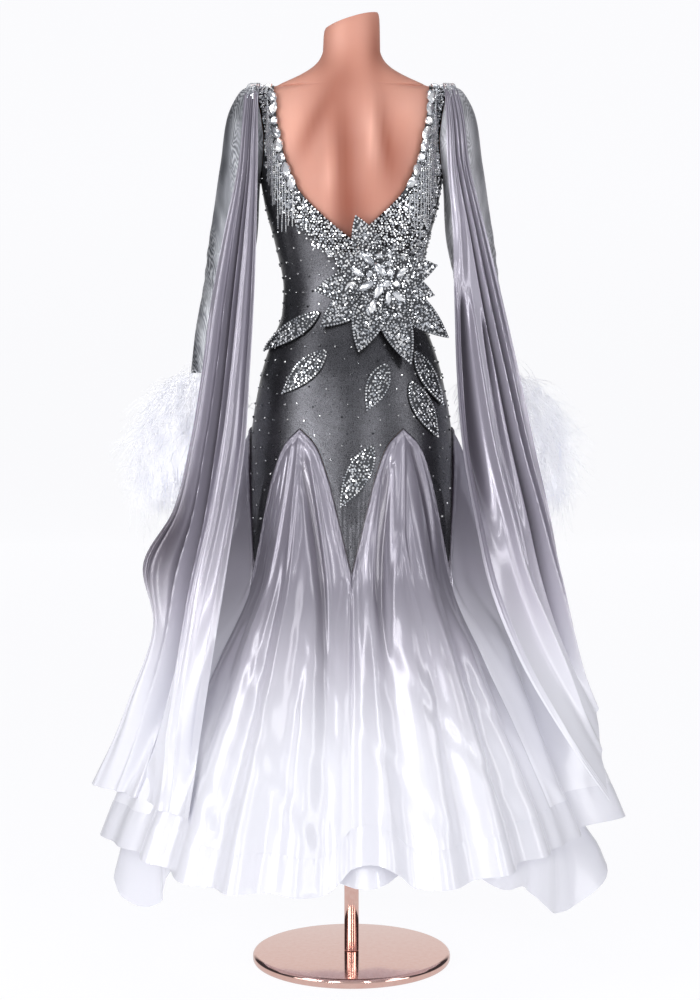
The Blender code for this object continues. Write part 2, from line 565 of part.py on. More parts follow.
def sheath_grid(turns, levels, neck_table, facing, out):
    """Rows of half a sheath from its zigzag edge up to the shoulder.

    turns are angles from the panel's centre line to its side seam; facing is -1 at the back and 1 in front.
    """
    def on_body(turn, z, keep=1.0):
        return figure_point(turn if facing < 0 else math.pi - turn, z, out, keep)

    rows = []
    for k in range(SHEATH_FLARE_ROWS):
        share = k / SHEATH_FLARE_ROWS
        rows.append([on_body(turn, mix(seam_height(turn), levels[0], share)) for turn in turns])
    for z in levels:
        first = edge_angle(neck_table, z) if z > neck_table[0].z else turns[0]
        last = min(edge_angle(ARMHOLE, z), turns[-1]) if z > UNDERARM_Z else turns[-1]
        keep = shoulder_roll(z)
        row = []
        for turn in turns:
            point = on_body(mix(first, last, (turn - turns[0]) / (turns[-1] - turns[0])), z, keep)
            if keep < 1:
                point.z += out * math.sqrt(1 - keep * keep)
                point.y = facing * max(facing * point.y, SEAM_GAP / 2)
            row.append(point)
        rows.append(row)
    return rows


def build_sheath(foil):
    """Two back panels that meet at the middle of the back, and a front cut in one piece."""
    trim = SEAM_GAP / 2 / 0.12
    turns = cell_angles(0, 3, arch_steps((1, 1, 1, 1)))
    turns[-1] -= trim
    halves = [sheath_grid(turns, SHEATH_ROWS_FRONT, FRONT_NECK, 1, out) for out in (0.0, -CLOTH)]
    join_front(halves, foil)
    turns[0] += trim
    outer, inner = (sheath_grid(turns, SHEATH_ROWS_BACK, BACK_NECK, -1, out) for out in (0.0, -CLOTH))
    wall("sheath_back_right", outer, CLOTH, foil, other=inner)
    wall("sheath_back_left", outer, CLOTH, foil, other=inner, mirror_x=True)


def join_front(halves, foil):
    """The front panel: both halves share the centre column up to the neckline, and part above it."""
    outer, inner = halves
    low = SHEATH_FLARE_ROWS + sum(1 for z in SHEATH_ROWS_FRONT if z <= FRONT_NECK[0].z)
    wide = len(outer[0])
    points, faces, index = [], [], {}

    def add(layer, i, j, side):
        shared = j == 0 and i < low
        key = (layer, i, j, 0 if shared else side)
        if key not in index:
            p = (outer, inner)[layer][i][j]
            index[key] = len(points)
            points.append(Vector((0.0 if shared else p.x * side, p.y, p.z)))
        return index[key]

    high = len(outer)
    for side in (1, -1):
        for i in range(high - 1):
            for j in range(wide - 1):
                for layer in (0, 1):
                    faces.append((add(layer, i, j, side), add(layer, i, j + 1, side),
                                  add(layer, i + 1, j + 1, side), add(layer, i + 1, j, side)))
            faces.append((add(0, i, wide - 1, side), add(0, i + 1, wide - 1, side),
                          add(1, i + 1, wide - 1, side), add(1, i, wide - 1, side)))
            if i >= low - 1:
                faces.append((add(0, i, 0, side), add(0, i + 1, 0, side), add(1, i + 1, 0, side), add(1, i, 0, side)))
        for i in (0, high - 1):
            for j in range(wide - 1):
                faces.append((add(0, i, j, side), add(0, i, j + 1, side), add(1, i, j + 1, side), add(1, i, j, side)))
    new_object("sheath_front", points, faces, foil)


# ---- skirt ---------------------------------------------------------------------------------------------
def build_godets(satin):
    """Six flared satin panels from the zigzag seam down to the band, each ending just short of its seams."""
    for k in range(GODETS):
        top_angles = cell_angles(2 * k, 2, arch_steps(ARCH_SPLITS))
        last = len(top_angles) - 1
        low_angles = hem_angles(k)
        rows = []
        for i in range(SKIRT_ROWS + 1):
            row = []
            for j in range(last + 1):
                phi = mix(top_angles[j], low_angles[j], min(i / (SKIRT_ROWS - 2), 1.0))
                top = seam_height(top_angles[j]) - seam_clearance(top_angles[j])
                low = hem_height(low_angles[j]) + BAND_HEIGHT + 2 * SEAM_GAP
                z = mix(top, low, (i / SKIRT_ROWS) ** 0.9)
                radius = math.hypot(*skirt_point(phi, z).xy)
                trim = SEAM_GAP / radius
                row.append(skirt_point(phi + (trim if j == 0 else -trim if j == last else 0.0), z))
            rows.append(row)
        wall(f"godet_{k + 1}", rows, CLOTH, satin, inside=Vector((0, 0, rows[SKIRT_ROWS // 2][0].z)))


def hem_angles(godet):
    """Even angles across a godet at the hem, which the band shares."""
    columns = 2 * sum(ARCH_SPLITS)
    return [2 * math.pi / GODETS * (godet + j / columns) for j in range(columns + 1)]


def build_hem_band(band):
    """The stiff band at the hem, in a back and a front half, on the godets' own columns."""
    turn = 2 * math.pi
    angles = [a for k in range(GODETS) for a in hem_angles(k)[:-1]] + [turn]
    quarter = len(angles) // 4
    around = angles[:-1] * 2
    for name, first in (("hem_band_back", 3 * quarter), ("hem_band_front", quarter)):
        columns = around[first:first + 2 * quarter + 1]
        rows = []
        for share in (0.0, 1.0):
            row = []
            for j, phi in enumerate(columns):
                trim = 2 * SEAM_GAP / 0.38 * (1 if j == 0 else -1 if j == len(columns) - 1 else 0)
                row.append(skirt_point(phi + trim, hem_height(phi) + BAND_HEIGHT * (1 - share)))
            rows.append(row)
        wall(name, rows, CLOTH, band, inside=Vector((0, 0, 0.25)))


def underskirt_extra(phi, value):
    """How much further than elsewhere the second layer hangs down, or swings out, at an angle."""
    degrees = math.degrees(phi) % 360
    return sum(getattr(row, value) * math.exp(-(((degrees - row.degrees) / row.spread) ** 2)) for row in UNDERSKIRT_DROPS)


def build_underskirt(satin):
    """The second skirt layer, in a back and a front half, just inside the top layer's valleys."""
    columns, levels, inset = 36, 2, 0.010
    for name, first in (("underskirt_back", 270), ("underskirt_front", 90)):
        start, end = math.radians(first + 0.06), math.radians(first + 180 - 0.06)
        rows = []
        for i in range(levels + 1):
            row = []
            for j in range(columns + 1):
                phi = mix(start, end, j / columns) % (2 * math.pi)
                z = mix(UNDERSKIRT_TOP, UNDERSKIRT_HEM - underskirt_extra(phi, "drop"), i / levels)
                wave = 0.006 * math.sin(18 * phi) * (i / levels) + underskirt_extra(phi, "swing") * (i / levels) ** 2
                row.append(figure_point(phi, z, wave - mix(CLOTH + 0.0008, inset, i / levels)))
            rows.append(row)
        wall(name, rows, CLOTH, satin)


# ---- sleeves, cuffs, floats ------------------------------------------------------------------------------
def sleeve_head(sides):
    """The ring that is sewn round the armhole, just outside the bodice's edge."""
    middle, half = (UNDERARM_Z + SHOULDER_Z) / 2, (SHOULDER_Z - UNDERARM_Z) / 2
    ring = []
    for k in range(sides):
        psi = 2 * math.pi * k / sides
        z = middle - half * math.cos(psi)
        facing = -1 if psi <= math.pi else 1
        ring.append(armhole_point(z, facing, 0.0009))
    return ring


def build_sleeves(mesh_cloth):
    """Long narrow sleeves, open at the cuff."""
    sides = SLEEVE_SIDES
    rows = [sleeve_head(sides)]
    for ring in SLEEVE_RINGS:
        row = []
        for k in range(sides):
            psi = 2 * math.pi * k / sides
            share = 0.5 + 0.5 * math.cos(psi)
            row.append(Vector((mix(ring.outer_x, ring.inner_x, share), ring.y - ring.half_depth * math.sin(psi),
                               mix(ring.outer_z, ring.inner_z, share))))
        rows.append(row)
    inner = []
    for row in rows:
        middle = sum(row, Vector()) / len(row)
        inner.append([p + (middle - p).normalized() * MESH_CLOTH for p in row])
    wall("sleeve_right", rows, MESH_CLOTH, mesh_cloth, closed=True, other=inner)
    wall("sleeve_left", rows, MESH_CLOTH, mesh_cloth, closed=True, other=inner, mirror_x=True)


def build_cuffs(feather):
    """The reach of the feather cuffs, with the hand's way left open through the middle."""
    outer, inner = [], []
    for cuff in FEATHER_CUFF:
        x = CUFF_X + CUFF_LEAN * (SLEEVE_RINGS[-1].inner_z - cuff.z)
        rim, hole = [], []
        for k in range(CUFF_SIDES):
            turn = 2 * math.pi * k / CUFF_SIDES
            along, across = math.cos(turn), math.sin(turn)
            reach_x = cuff.out if along > 0 else cuff.body
            reach_y = cuff.front if across > 0 else cuff.back
            rim.append(Vector((x + reach_x * along, CUFF_Y + reach_y * across, cuff.z)))
            hole.append(Vector((x + cuff.hole * along, CUFF_Y + cuff.hole * across, cuff.z)))
        outer.append(rim)
        inner.append(hole)
    wall("feather_cuff_right", outer, 0, feather, closed=True, other=inner)
    wall("feather_cuff_left", outer, 0, feather, closed=True, other=inner, mirror_x=True)


def pleat_wave(share):
    """Folds across a float, from -1 in a valley to 1 on a crest."""
    last = len(FLOAT_PLEATS) - 1
    for k, pleat in enumerate(FLOAT_PLEATS):
        before = FLOAT_PLEATS[k - 1].share if k else -pleat.share
        after = FLOAT_PLEATS[k + 1].share if k < last else 2 - pleat.share
        low, high = (before + pleat.share) / 2, (after + pleat.share) / 2
        if low <= share <= high:
            reach = pleat.share - low if share < pleat.share else high - pleat.share
            return pleat.depth * math.cos(math.pi * (share - pleat.share) / reach)
    return 0.0


def build_float(name, table, satin, mirror_x):
    """A satin panel gathered into folds at the shoulder, which falls outside sleeve, cuff and skirt."""
    columns = FLOAT_COLUMNS_A_PLEAT * len(FLOAT_PLEATS)
    rows = []
    for hang in table:
        row = []
        width = math.hypot(hang.out_x - hang.in_x, hang.out_y - hang.in_y)
        depth = min(hang.fold, 0.26 * max(width / len(FLOAT_PLEATS) - 0.0025, 0.0))
        across = Vector((hang.out_x - hang.in_x, hang.out_y - hang.in_y, 0)).normalized()
        front = Vector((across.y, -across.x, 0))
        for j in range(columns + 1):
            share = j / columns
            point = Vector((mix(hang.in_x, hang.out_x, share), mix(hang.in_y, hang.out_y, share),
                            mix(hang.in_z, hang.out_z, share)))
            row.append(point + front * (depth * pleat_wave(share)))
        rows.append(row)
    wall(name, rows, CLOTH, satin, inside=Vector((0, 0.6, 0.9)), mirror_x=mirror_x)


# ---- ornament ------------------------------------------------------------------------------------------
def back_angle(x, z):
    """Angle of the sheath's back at a distance from the middle."""
    return math.asin(max(-0.999, min(0.999, x / smooth_table(FIGURE, "half_width", z))))


def build_hip_leaves(stones):
    """Leaves that lie on the sheath, made from its surface and moved out."""
    for leaf in HIP_LEAVES:
        root, tip = Vector((leaf.root_x, leaf.root_z)), Vector((leaf.tip_x, leaf.tip_z))
        along = (tip - root).normalized()
        across = Vector((-along.y, along.x))

        def place(share, side, layer, leaf=leaf, root=root, tip=tip, across=across):
            spot = root.lerp(tip, share) + across * side
            out = leaf.base + leaf.lift * share**2 + PLATE * layer * (0.35 + 0.65 * (share * (1 - share) * 4))
            return figure_point(back_angle(spot.x, spot.y), spot.y, out)

        leaf_plate(leaf.name, place, leaf.half_width, stones)


def flower_depth(x, z):
    """Y of the flower's lowest layer, a shallow saddle that clears the hollow of the waist and the hips."""
    return -0.0835 - 1.6 * (z - 1.11) ** 2 + 1.2 * x * x


def build_flower(stones, crystal):
    """Nine outer petals, six inner ones and the cut-stone middle, each layer in front of the last."""
    for petal in PETALS:
        turn = math.radians(petal.degrees)
        along = Vector((math.cos(turn), math.sin(turn)))
        across = Vector((-along.y, along.x))
        stack = petal.layer * LAYER_STEP

        def place(share, side, layer, petal=petal, along=along, across=across, stack=stack):
            spot = along * mix(PETAL_ROOT, petal.reach, share) + across * side
            x, z = FLOWER_X + spot.x, FLOWER_Z + spot.y
            ridge = 0.0008 * (1 - abs(side) / petal.half_width)
            thick = PLATE * layer * (0.4 + 0.6 * 4 * share * (1 - share))
            return Vector((x, flower_depth(x, z) - stack - thick - ridge, z))

        leaf_plate(petal.name, place, petal.half_width, stones)
    build_flower_middle(crystal)


def build_flower_middle(crystal):
    """Cut-stone cap on a short stem, which stands on the sheath between the petals' roots."""
    floor = flower_depth(FLOWER_X, FLOWER_Z) - 5.6 * LAYER_STEP
    seat = min(figure_point(back_angle(FLOWER_X + dx, FLOWER_Z + dz), FLOWER_Z + dz).y
               for dx in (-STEM_RADIUS, 0.0) for dz in (-STEM_RADIUS, 0.0, STEM_RADIUS))
    rings = ((0.016, floor - 0.012), (0.026, floor - 0.006), (0.026, floor), (STEM_RADIUS, floor), (STEM_RADIUS, seat))
    sides = 12
    points, faces = [], []
    for radius, depth in rings:
        for k in range(sides):
            turn = 2 * math.pi * k / sides
            reach = radius * (1.0 if k % 2 or radius == STEM_RADIUS else 0.78)
            points.append(Vector((FLOWER_X + reach * math.cos(turn), depth, FLOWER_Z + reach * math.sin(turn))))
    top, low = len(points), len(points) + 1
    points += [Vector((FLOWER_X, floor - 0.014, FLOWER_Z)), Vector((FLOWER_X, seat, FLOWER_Z))]
    for i in range(len(rings) - 1):
        a, b = i * sides, (i + 1) * sides
        faces += [(a + k, a + (k + 1) % sides, b + (k + 1) % sides, b + k) for k in range(sides)]
    end = (len(rings) - 1) * sides
    faces += [(top, k, (k + 1) % sides) for k in range(sides)]
    faces += [(low, end + k, end + (k + 1) % sides) for k in range(sides)]
    new_object("flower_middle", points, faces, crystal)


def neck_edge(share):
    """Angle and height along the right back neckline, from the shoulder (0) to the flower (1)."""
    z = mix(1.425, 1.250, share)
    return edge_angle(BACK_NECK, z), z


def build_neck_stones(crystal):
    """A strip of large cut stones that overlaps the neckline's edge at the back."""
    steps = 2 * NECK_STONES
    outer, inner = [], []
    for i in range(steps + 1):
        share = i / steps
        phi, z = neck_edge(share)
        half = smooth_table(FIGURE, "half_width", z)
        bulge = abs(math.sin(math.pi * NECK_STONES * share))
        wide = STONE_WIDTH / half
        row_out, row_in = [], []
        for across, lift in ((-0.12, 0.25), (0.25, 0.9), (0.62, 0.9), (1.0, 0.25)):
            turn = phi + wide * across * (0.75 + 0.25 * bulge)
            base = 0.0008
            row_in.append(figure_point(turn, z, base))
            row_out.append(figure_point(turn, z, base + 0.0012 + STONE_HEIGHT * lift * bulge))
        outer.append(row_out)
        inner.append(row_in)
    wall("neck_stones_right", outer, 0, crystal, other=inner)
    wall("neck_stones_left", outer, 0, crystal, other=inner, mirror_x=True)


def strand_places():
    """Shares along the neckline at which the strands hang, at even distances from the middle."""
    steps = 400
    reach = [(math.sin(neck_edge(k / steps)[0]) * smooth_table(FIGURE, "half_width", neck_edge(k / steps)[1]), k / steps)
             for k in range(steps + 1)]
    first, last = reach[int(0.08 * steps)][0], reach[int(0.96 * steps)][0]
    places = []
    for n in range(STRANDS):
        target = mix(first, last, n / (STRANDS - 1))
        places.append(min(reach, key=lambda pair: abs(pair[0] - target))[1])
    return places


def build_strands(crystal):
    """Bead strands that hang over the bodice from a narrow tape beside the neckline's stones."""
    tape_width, off, tape_thick, part_gap = 0.004, 0.0008, 0.0016, 0.0006
    along = (1.425 - 1.250) * 1.15
    shares = []
    for place in strand_places():
        shares += [place - STRAND_RADIUS / along, place + STRAND_RADIUS / along]
    grid = []
    for share in shares:
        phi, z = neck_edge(share)
        half = smooth_table(FIGURE, "half_width", z)
        near = phi + (STONE_WIDTH + part_gap) / half
        grid.append((near, near + tape_width / half, z))
    points, faces = [], []
    for near, far, z in grid:
        for turn in (near, far):
            points += [figure_point(turn, z, off), figure_point(turn, z, off + tape_thick)]
    columns = len(grid) - 1
    for j in range(columns):
        a, b = 4 * j, 4 * (j + 1)
        faces += [(a, b, b + 1, a + 1), (a + 1, b + 1, b + 3, a + 3), (a + 2, a, b, b + 2)]
        if j % 2:
            faces.append((a + 3, b + 3, b + 2, a + 2))
        else:
            add_strand(points, faces, (a + 2, a + 3, b + 3, b + 2), grid[j], grid[j + 1], off, tape_thick, j / columns)
    faces += [(0, 1, 3, 2), (4 * columns, 4 * columns + 2, 4 * columns + 3, 4 * columns + 1)]
    new_object("bead_strands_right", points, faces, crystal)
    new_object("bead_strands_left", points, faces, crystal, mirror_x=True)


def add_strand(points, faces, root, start, end, off, thick, share):
    """Draws one strand of four sides out of the tape's outer edge and lets it hang down the bodice."""
    length = smooth_table(STRAND_LENGTHS, "length", share)
    previous = root
    steps = 3
    phi, z = (start[1] + end[1]) / 2, (start[2] + end[2]) / 2
    x = figure_point(phi, z).x + 0.0022
    for k in range(1, steps + 1):
        level = z - length * k / steps
        ring = []
        half = smooth_table(FIGURE, "half_width", level)
        for side, out in ((1, off), (1, off + thick + 0.0004), (-1, off + thick + 0.0004), (-1, off)):
            turn = math.asin(min((x + side * STRAND_RADIUS) / half, 0.999))
            point = figure_point(turn, level, out + 0.0004)
            ring.append(len(points))
            points.append(point)
        for n in range(4):
            faces.append((previous[n], previous[(n + 1) % 4], ring[(n + 1) % 4], ring[n]))
        previous = ring
    faces.append(tuple(previous))


def main():
    for thing in list(bpy.data.objects):
        bpy.data.objects.remove(thing, do_unlink=True)
    metal = paint("rose_gold_plate", (0.80, 0.46, 0.38), 0.12, 1.0)
    skin = paint("form_lacquer", (0.62, 0.33, 0.25), 0.45)
    foil = paint("charcoal_foil_jersey", (0.060, 0.060, 0.066), 0.38, 0.6)
    satin = paint("ombre_satin", (0.52, 0.50, 0.55), 0.30)
    band = paint("white_satin_band", (0.86, 0.86, 0.90), 0.32)
    mesh_cloth = paint("silver_mesh", (0.20, 0.20, 0.21), 0.45, 0.3)
    feather = paint("white_feather", (0.88, 0.88, 0.92), 0.85)
    stones = paint("stone_covered", (0.55, 0.56, 0.58), 0.20, 0.3)
    crystal = paint("crystal", (0.82, 0.84, 0.86), 0.08, 0.4)
    build_stand(metal)
    build_form(skin)
    build_sheath(foil)
    build_godets(satin)
    build_hem_band(band)
    build_underskirt(band)
    build_sleeves(mesh_cloth)
    build_cuffs(feather)
    build_float("float_right", RIGHT_FLOAT, satin, False)
    build_float("float_left", LEFT_FLOAT, satin, True)
    build_hip_leaves(stones)
    build_flower(stones, crystal)
    build_neck_stones(crystal)
    build_strands(crystal)


main()
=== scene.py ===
"""Visual model of a ballroom dance dress on a limbless dress form and its pole stand.

Metres, +Z up. The wearer's back faces -Y and is the decorated side, +X is the wearer's right. Angles round
the body start at the middle of the back and grow towards +X. Every cloth piece is a thin wall on a fine grid.
"""

from __future__ import annotations

import logging
import math
from dataclasses import dataclass
from enum import Enum
from typing import Callable, NamedTuple

import bpy
import numpy as np
from mathutils import Matrix, Vector


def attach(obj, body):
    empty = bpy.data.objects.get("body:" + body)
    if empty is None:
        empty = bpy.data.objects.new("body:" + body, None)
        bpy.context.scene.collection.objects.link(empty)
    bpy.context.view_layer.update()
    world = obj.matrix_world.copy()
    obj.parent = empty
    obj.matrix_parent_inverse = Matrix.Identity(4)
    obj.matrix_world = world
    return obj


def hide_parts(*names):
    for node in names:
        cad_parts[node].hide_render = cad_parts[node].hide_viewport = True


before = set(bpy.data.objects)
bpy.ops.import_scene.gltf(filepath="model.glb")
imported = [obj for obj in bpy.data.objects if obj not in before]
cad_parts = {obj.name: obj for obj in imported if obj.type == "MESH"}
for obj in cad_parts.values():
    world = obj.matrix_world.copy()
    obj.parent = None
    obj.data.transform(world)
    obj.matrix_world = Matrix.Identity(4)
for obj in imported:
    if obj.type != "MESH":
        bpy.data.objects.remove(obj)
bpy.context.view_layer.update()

log = logging.getLogger("dance_dress")
Array = np.ndarray
Thing = bpy.types.Object
Tree = bpy.types.NodeTree
Socket = bpy.types.NodeSocket
Dice = np.random.Generator
TURN = 2 * math.pi
MILLI = 0.001


def rows_of(kind: type, *rows: tuple) -> tuple:
    """Returns rows of figures as rows of one named kind."""
    return tuple(kind(*row) for row in rows)


# ---- tables of the dress ---------------------------------------------------------------------------------
class Section(NamedTuple):
    """Half width of the dress, and its depth to the back and the front, at a height."""

    z: float
    half_width: float
    back: float
    front: float


FIGURE = rows_of(
    Section, (1.4445, 0.164, 0.03, 0.032), (1.434, 0.166, 0.041, 0.044), (1.41, 0.168, 0.058, 0.064),
    (1.37, 0.165, 0.077, 0.084), (1.33, 0.157, 0.089, 0.095), (1.285, 0.15, 0.095, 0.1),
    (1.24, 0.142, 0.094, 0.102), (1.18, 0.126, 0.087, 0.096), (1.105, 0.112, 0.08, 0.084),
    (1.07, 0.114, 0.082, 0.083), (1.02, 0.132, 0.096, 0.09), (0.96, 0.15, 0.114, 0.098),
    (0.88, 0.164, 0.126, 0.106), (0.8, 0.172, 0.131, 0.112), (0.65, 0.182, 0.142, 0.132),
    (0.56, 0.206, 0.174, 0.17), (0.46, 0.242, 0.214, 0.212), (0.36, 0.284, 0.258, 0.258),
    (0.27, 0.324, 0.298, 0.3), (0.2, 0.35, 0.322, 0.326),
)


class Shoulder(NamedTuple):
    """Half width and depth of the form's shoulders and neck, and how much their ends thin out."""

    z: float
    half_width: float
    depth: float
    thinning: float


FORM_SHOULDER = rows_of(
    Shoulder, (1.428, 0.156, 0.043, 1.2), (1.434, 0.153, 0.043, 1.7), (1.4385, 0.151, 0.042, 3.4),
    (1.4401, 0.149, 0.042, 4.6), (1.4406, 0.1265, 0.043, 2.2), (1.446, 0.114, 0.045, 1.3),
    (1.452, 0.0985, 0.046, 1.0), (1.46, 0.08, 0.046, 1.0), (1.4713, 0.06, 0.045, 1.0),
    (1.4845, 0.0495, 0.043, 1.0), (1.498, 0.043, 0.042, 1.0),
)


class Pair(NamedTuple):
    """A value at a key: a height, a share or an angle in degrees."""

    at: float
    value: float


GODETS = 6
TIP_Z, PEAK_Z = 0.652, 0.880
GODET_ARCH = rows_of(
    Pair, (0.0, 0.0), (0.22, 0.37), (0.4, 0.64), (0.66, 0.88), (1.0, 1.0),
)
GODET_SWELL = rows_of(
    Pair, (0.0, 0.0), (0.08, 0.008), (0.16, 0.02), (0.24, 0.031), (0.34, 0.037), (0.46, 0.04), (0.7, 0.044),
)
SIDE_SWELL = rows_of(
    Pair, (0.0, 0.0), (0.04, 0.012), (0.08, 0.015), (0.14, 0.019), (0.22, 0.019), (0.32, 0.012), (0.45, 0.0),
    (0.7, 0.0),
)
BACK_NECK = rows_of(
    Pair, (1.182, 0.0), (1.21, 0.034), (1.238, 0.064), (1.262, 0.085), (1.31, 0.106), (1.343, 0.115),
    (1.39, 0.123), (1.4425, 0.128),
)
FRONT_NECK = rows_of(
    Pair, (1.345, 0.0), (1.35, 0.045), (1.365, 0.082), (1.39, 0.106), (1.415, 0.12), (1.4425, 0.128),
)
ARMHOLE = rows_of(
    Pair, (1.285, 0.15), (1.31, 0.1455), (1.345, 0.143), (1.385, 0.147), (1.415, 0.153), (1.4425, 0.157),
)
UNDERARM_Z, SHOULDER_Z, SHOULDER_ROLL_Z = 1.285, 1.4425, 1.428
HEM_LEVELS = rows_of(
    Pair, (0, 0.228), (6, 0.238), (11, 0.224), (15, 0.203), (23, 0.205), (31, 0.216), (40, 0.222),
    (52, 0.228), (68, 0.236), (84, 0.246), (96, 0.24), (110, 0.222), (130, 0.206), (150, 0.216),
    (170, 0.206), (190, 0.216), (210, 0.206), (232, 0.216), (256, 0.208), (282, 0.226), (300, 0.222),
    (312, 0.21), (326, 0.198), (342, 0.197), (352, 0.19), (360, 0.228),
)
BAND_HEIGHT = 0.055
UNDERSKIRT_TOP, UNDERSKIRT_HEM, UNDERSKIRT_INSET = 0.50, 0.232, 0.010


class Fold(NamedTuple):
    """A fold of the skirt: its middle, its half width on each side and its height at the hem."""

    degrees: float
    spread: float
    height: float


SKIRT_FOLDS = rows_of(
    Fold, (8, 7, 0.026), (21, 7, 0.016), (35, 8, 0.03), (50, 7, 0.02), (59, 6, 0.012), (67, 7, 0.016),
    (85, 13, 0.072), (108, 9, 0.028), (129, 8, 0.024), (144, 7, 0.028), (158, 6.5, 0.02), (172, 7, 0.026),
    (188, 7, 0.022), (202, 6.5, 0.028), (216, 7, 0.022), (231, 8, 0.028), (252, 9, 0.024), (283, 15, 0.03),
    (296, 8, 0.022), (306, 7, 0.024), (320, 8, 0.018), (334, 6, 0.024), (347, 6, 0.016), (356.5, 3.5, 0.01),
)
FOLD_START, FOLD_FULL = 0.05, 0.50
CLING = 0.85  # share of the gap to the skirt that the floats' inner edges give up
SEAM_FILL = 0.86  # share of the godets' swell that their seams take too


class Drop(NamedTuple):
    """Where the second skirt layer hangs lower or swings further out."""

    degrees: float
    spread: float
    drop: float
    swing: float


UNDERSKIRT_DROPS = rows_of(
    Drop, (70, 18, 0.125, 0.0), (42, 10, 0.045, 0.0), (82, 9, 0.0, 0.075), (290, 15, 0.115, 0.0),
    (281, 8, 0.0, 0.048), (3, 12, 0.036, 0.0), (363, 12, 0.036, 0.0),
)


class Crease(NamedTuple):
    """A ridge (height above 0) or trough of the cloth, from its start to its end down the skirt.

    Degrees and heights of both ends, half widths in millimetres, height in millimetres, sideways bow in
    degrees, and the shares of its length over which it rises and fades.
    """

    start: float
    start_z: float
    end: float
    end_z: float
    wide: float
    wide_end: float
    height: float
    bow: float = 0.0
    rise: float = 0.25
    fade: float = 0.3


# Creases of the two godets beside the middle of the back, which show most: the left one's first.
BACK_CREASES = rows_of(
    Crease, (-30.2, 0.873, -29.0, 0.4, 2.4, 5, 2.6, 0.0, 0.05),
    (-27.8, 0.866, -26.6, 0.48, 2.2, 4, 1.7, 0.0, 0.08, 0.4),
    (-34.5, 0.864, -45.5, 0.48, 2.6, 6, 2.6, 1.5, 0.1),
    (-37.0, 0.848, -41.0, 0.72, 2.4, 3, 1.9, 0.0, 0.2, 0.5),
    (-40.5, 0.826, -49.0, 0.64, 2.4, 4, 1.9, 0.0, 0.2, 0.5),
    (-44.5, 0.8, -52.5, 0.7, 2.4, 3, 1.6, 0.0, 0.2, 0.5),
    (-29.0, 0.854, -9.5, 0.47, 6, 11, -14.0, 3.7, 0.14, 0.4),
    (-24.0, 0.85, -7.5, 0.48, 2.8, 5, 3.2, 3.2, 0.15, 0.35),
    (-21.0, 0.834, -5.6, 0.3, 2.6, 5, 2.2, 3.0, 0.2), (-33.5, 0.7, -36.0, 0.3, 4, 8, 2.8, 0.0, 0.3),
    (-23.0, 0.64, -20.5, 0.28, 5, 9, 3.2, 0.0, 0.3), (-17.0, 0.52, -15.0, 0.26, 5, 9, 2.6, 0.0, 0.3),
    (-45.0, 0.7, -52.0, 0.35, 4, 9, 2.3, 2.0, 0.2, 0.4),
    (-58.5, 0.655, -64.0, 0.56, 3, 4, 1.6, 0.0, 0.1, 0.5),
    (-57.8, 0.648, -60.0, 0.42, 3, 6, 1.9, 0.0, 0.1, 0.5),
    (-56.5, 0.64, -54.0, 0.5, 4, 7, 1.6, 0.0, 0.2, 0.5), (-1.0, 0.64, -2.6, 0.42, 3, 6, 2.0, 0.0, 0.1, 0.5),
    (-3.6, 0.645, -6.5, 0.56, 2.4, 3, 1.6, 0.0, 0.1, 0.5), (0.8, 0.64, 2.2, 0.38, 3, 7, 1.9, 0.0, 0.1, 0.5),
    (3.4, 0.66, 3.8, 0.5, 2.4, 4, 1.7, 0.0, 0.1, 0.5), (30.0, 0.873, 24.5, 0.69, 2.4, 4, 2.6, 0.0, 0.05),
    (24.5, 0.74, 13.5, 0.48, 2.6, 5, 2.1, -1.0, 0.15, 0.4),
    (24.5, 0.74, 28.5, 0.44, 2.6, 5, 2.1, 1.0, 0.15, 0.4),
    (21.5, 0.86, 7.6, 0.64, 2.4, 4, 2.5, -3.0, 0.1, 0.4),
    (24.8, 0.864, 16.5, 0.74, 2.2, 3, 1.9, -1.0, 0.1, 0.5),
    (20.5, 0.842, 13.0, 0.51, 6, 10, -14.0, -2.5, 0.14, 0.4),
    (36.5, 0.867, 49.0, 0.68, 2.4, 4, 2.5, 2.5, 0.1, 0.4),
    (39.8, 0.86, 52.0, 0.7, 2.2, 3, 2.0, 1.5, 0.1, 0.4),
    (33.0, 0.868, 45.5, 0.64, 5, 8, -10.0, 2.5, 0.12, 0.4),
    (29.0, 0.68, 23.6, 0.28, 6, 11, 4.5, 0.0, 0.3, 0.25), (33.0, 0.6, 33.0, 0.33, 5, 8, -5.0, 1.0, 0.3, 0.4),
    (8.2, 0.6, 9.5, 0.25, 4, 7, 2.6, 0.0, 0.3), (40.0, 0.64, 36.0, 0.34, 4, 9, 2.3, 2.0, 0.2, 0.4),
    (58.0, 0.65, 50.0, 0.52, 3, 6, 1.6, 0.0, 0.1, 0.5), (60.8, 0.645, 62.0, 0.45, 3, 6, 1.7, 0.0, 0.1, 0.5),
)
# Creases of a godet that shows less, from its left seam, and their shares of its width.
SIDE_CREASES = rows_of(
    Crease, (27, 0.865, 20, 0.64, 3, 6, 2.8, 0.0, 0.15, 0.5),
    (33, 0.868, 41, 0.6, 3, 7, 3.0, 0.0, 0.15, 0.5), (29.6, 0.874, 29.0, 0.45, 2.4, 4, -2.6, 0.0, 0.06, 0.4),
    (24, 0.82, 12, 0.4, 7, 12, -6.0, 2.0, 0.25, 0.4), (36, 0.83, 47, 0.42, 7, 12, -6.5, -2.0, 0.25, 0.4),
    (1.5, 0.64, 5.0, 0.47, 3, 6, 2.4, 0.0, 0.1, 0.5), (58.5, 0.64, 55.0, 0.47, 3, 6, 2.4, 0.0, 0.1, 0.5),
    (17, 0.73, 9, 0.33, 4, 8, 3.0, 1.0, 0.3, 0.4), (43, 0.74, 52, 0.36, 4, 8, 3.0, -1.0, 0.3, 0.4),
)


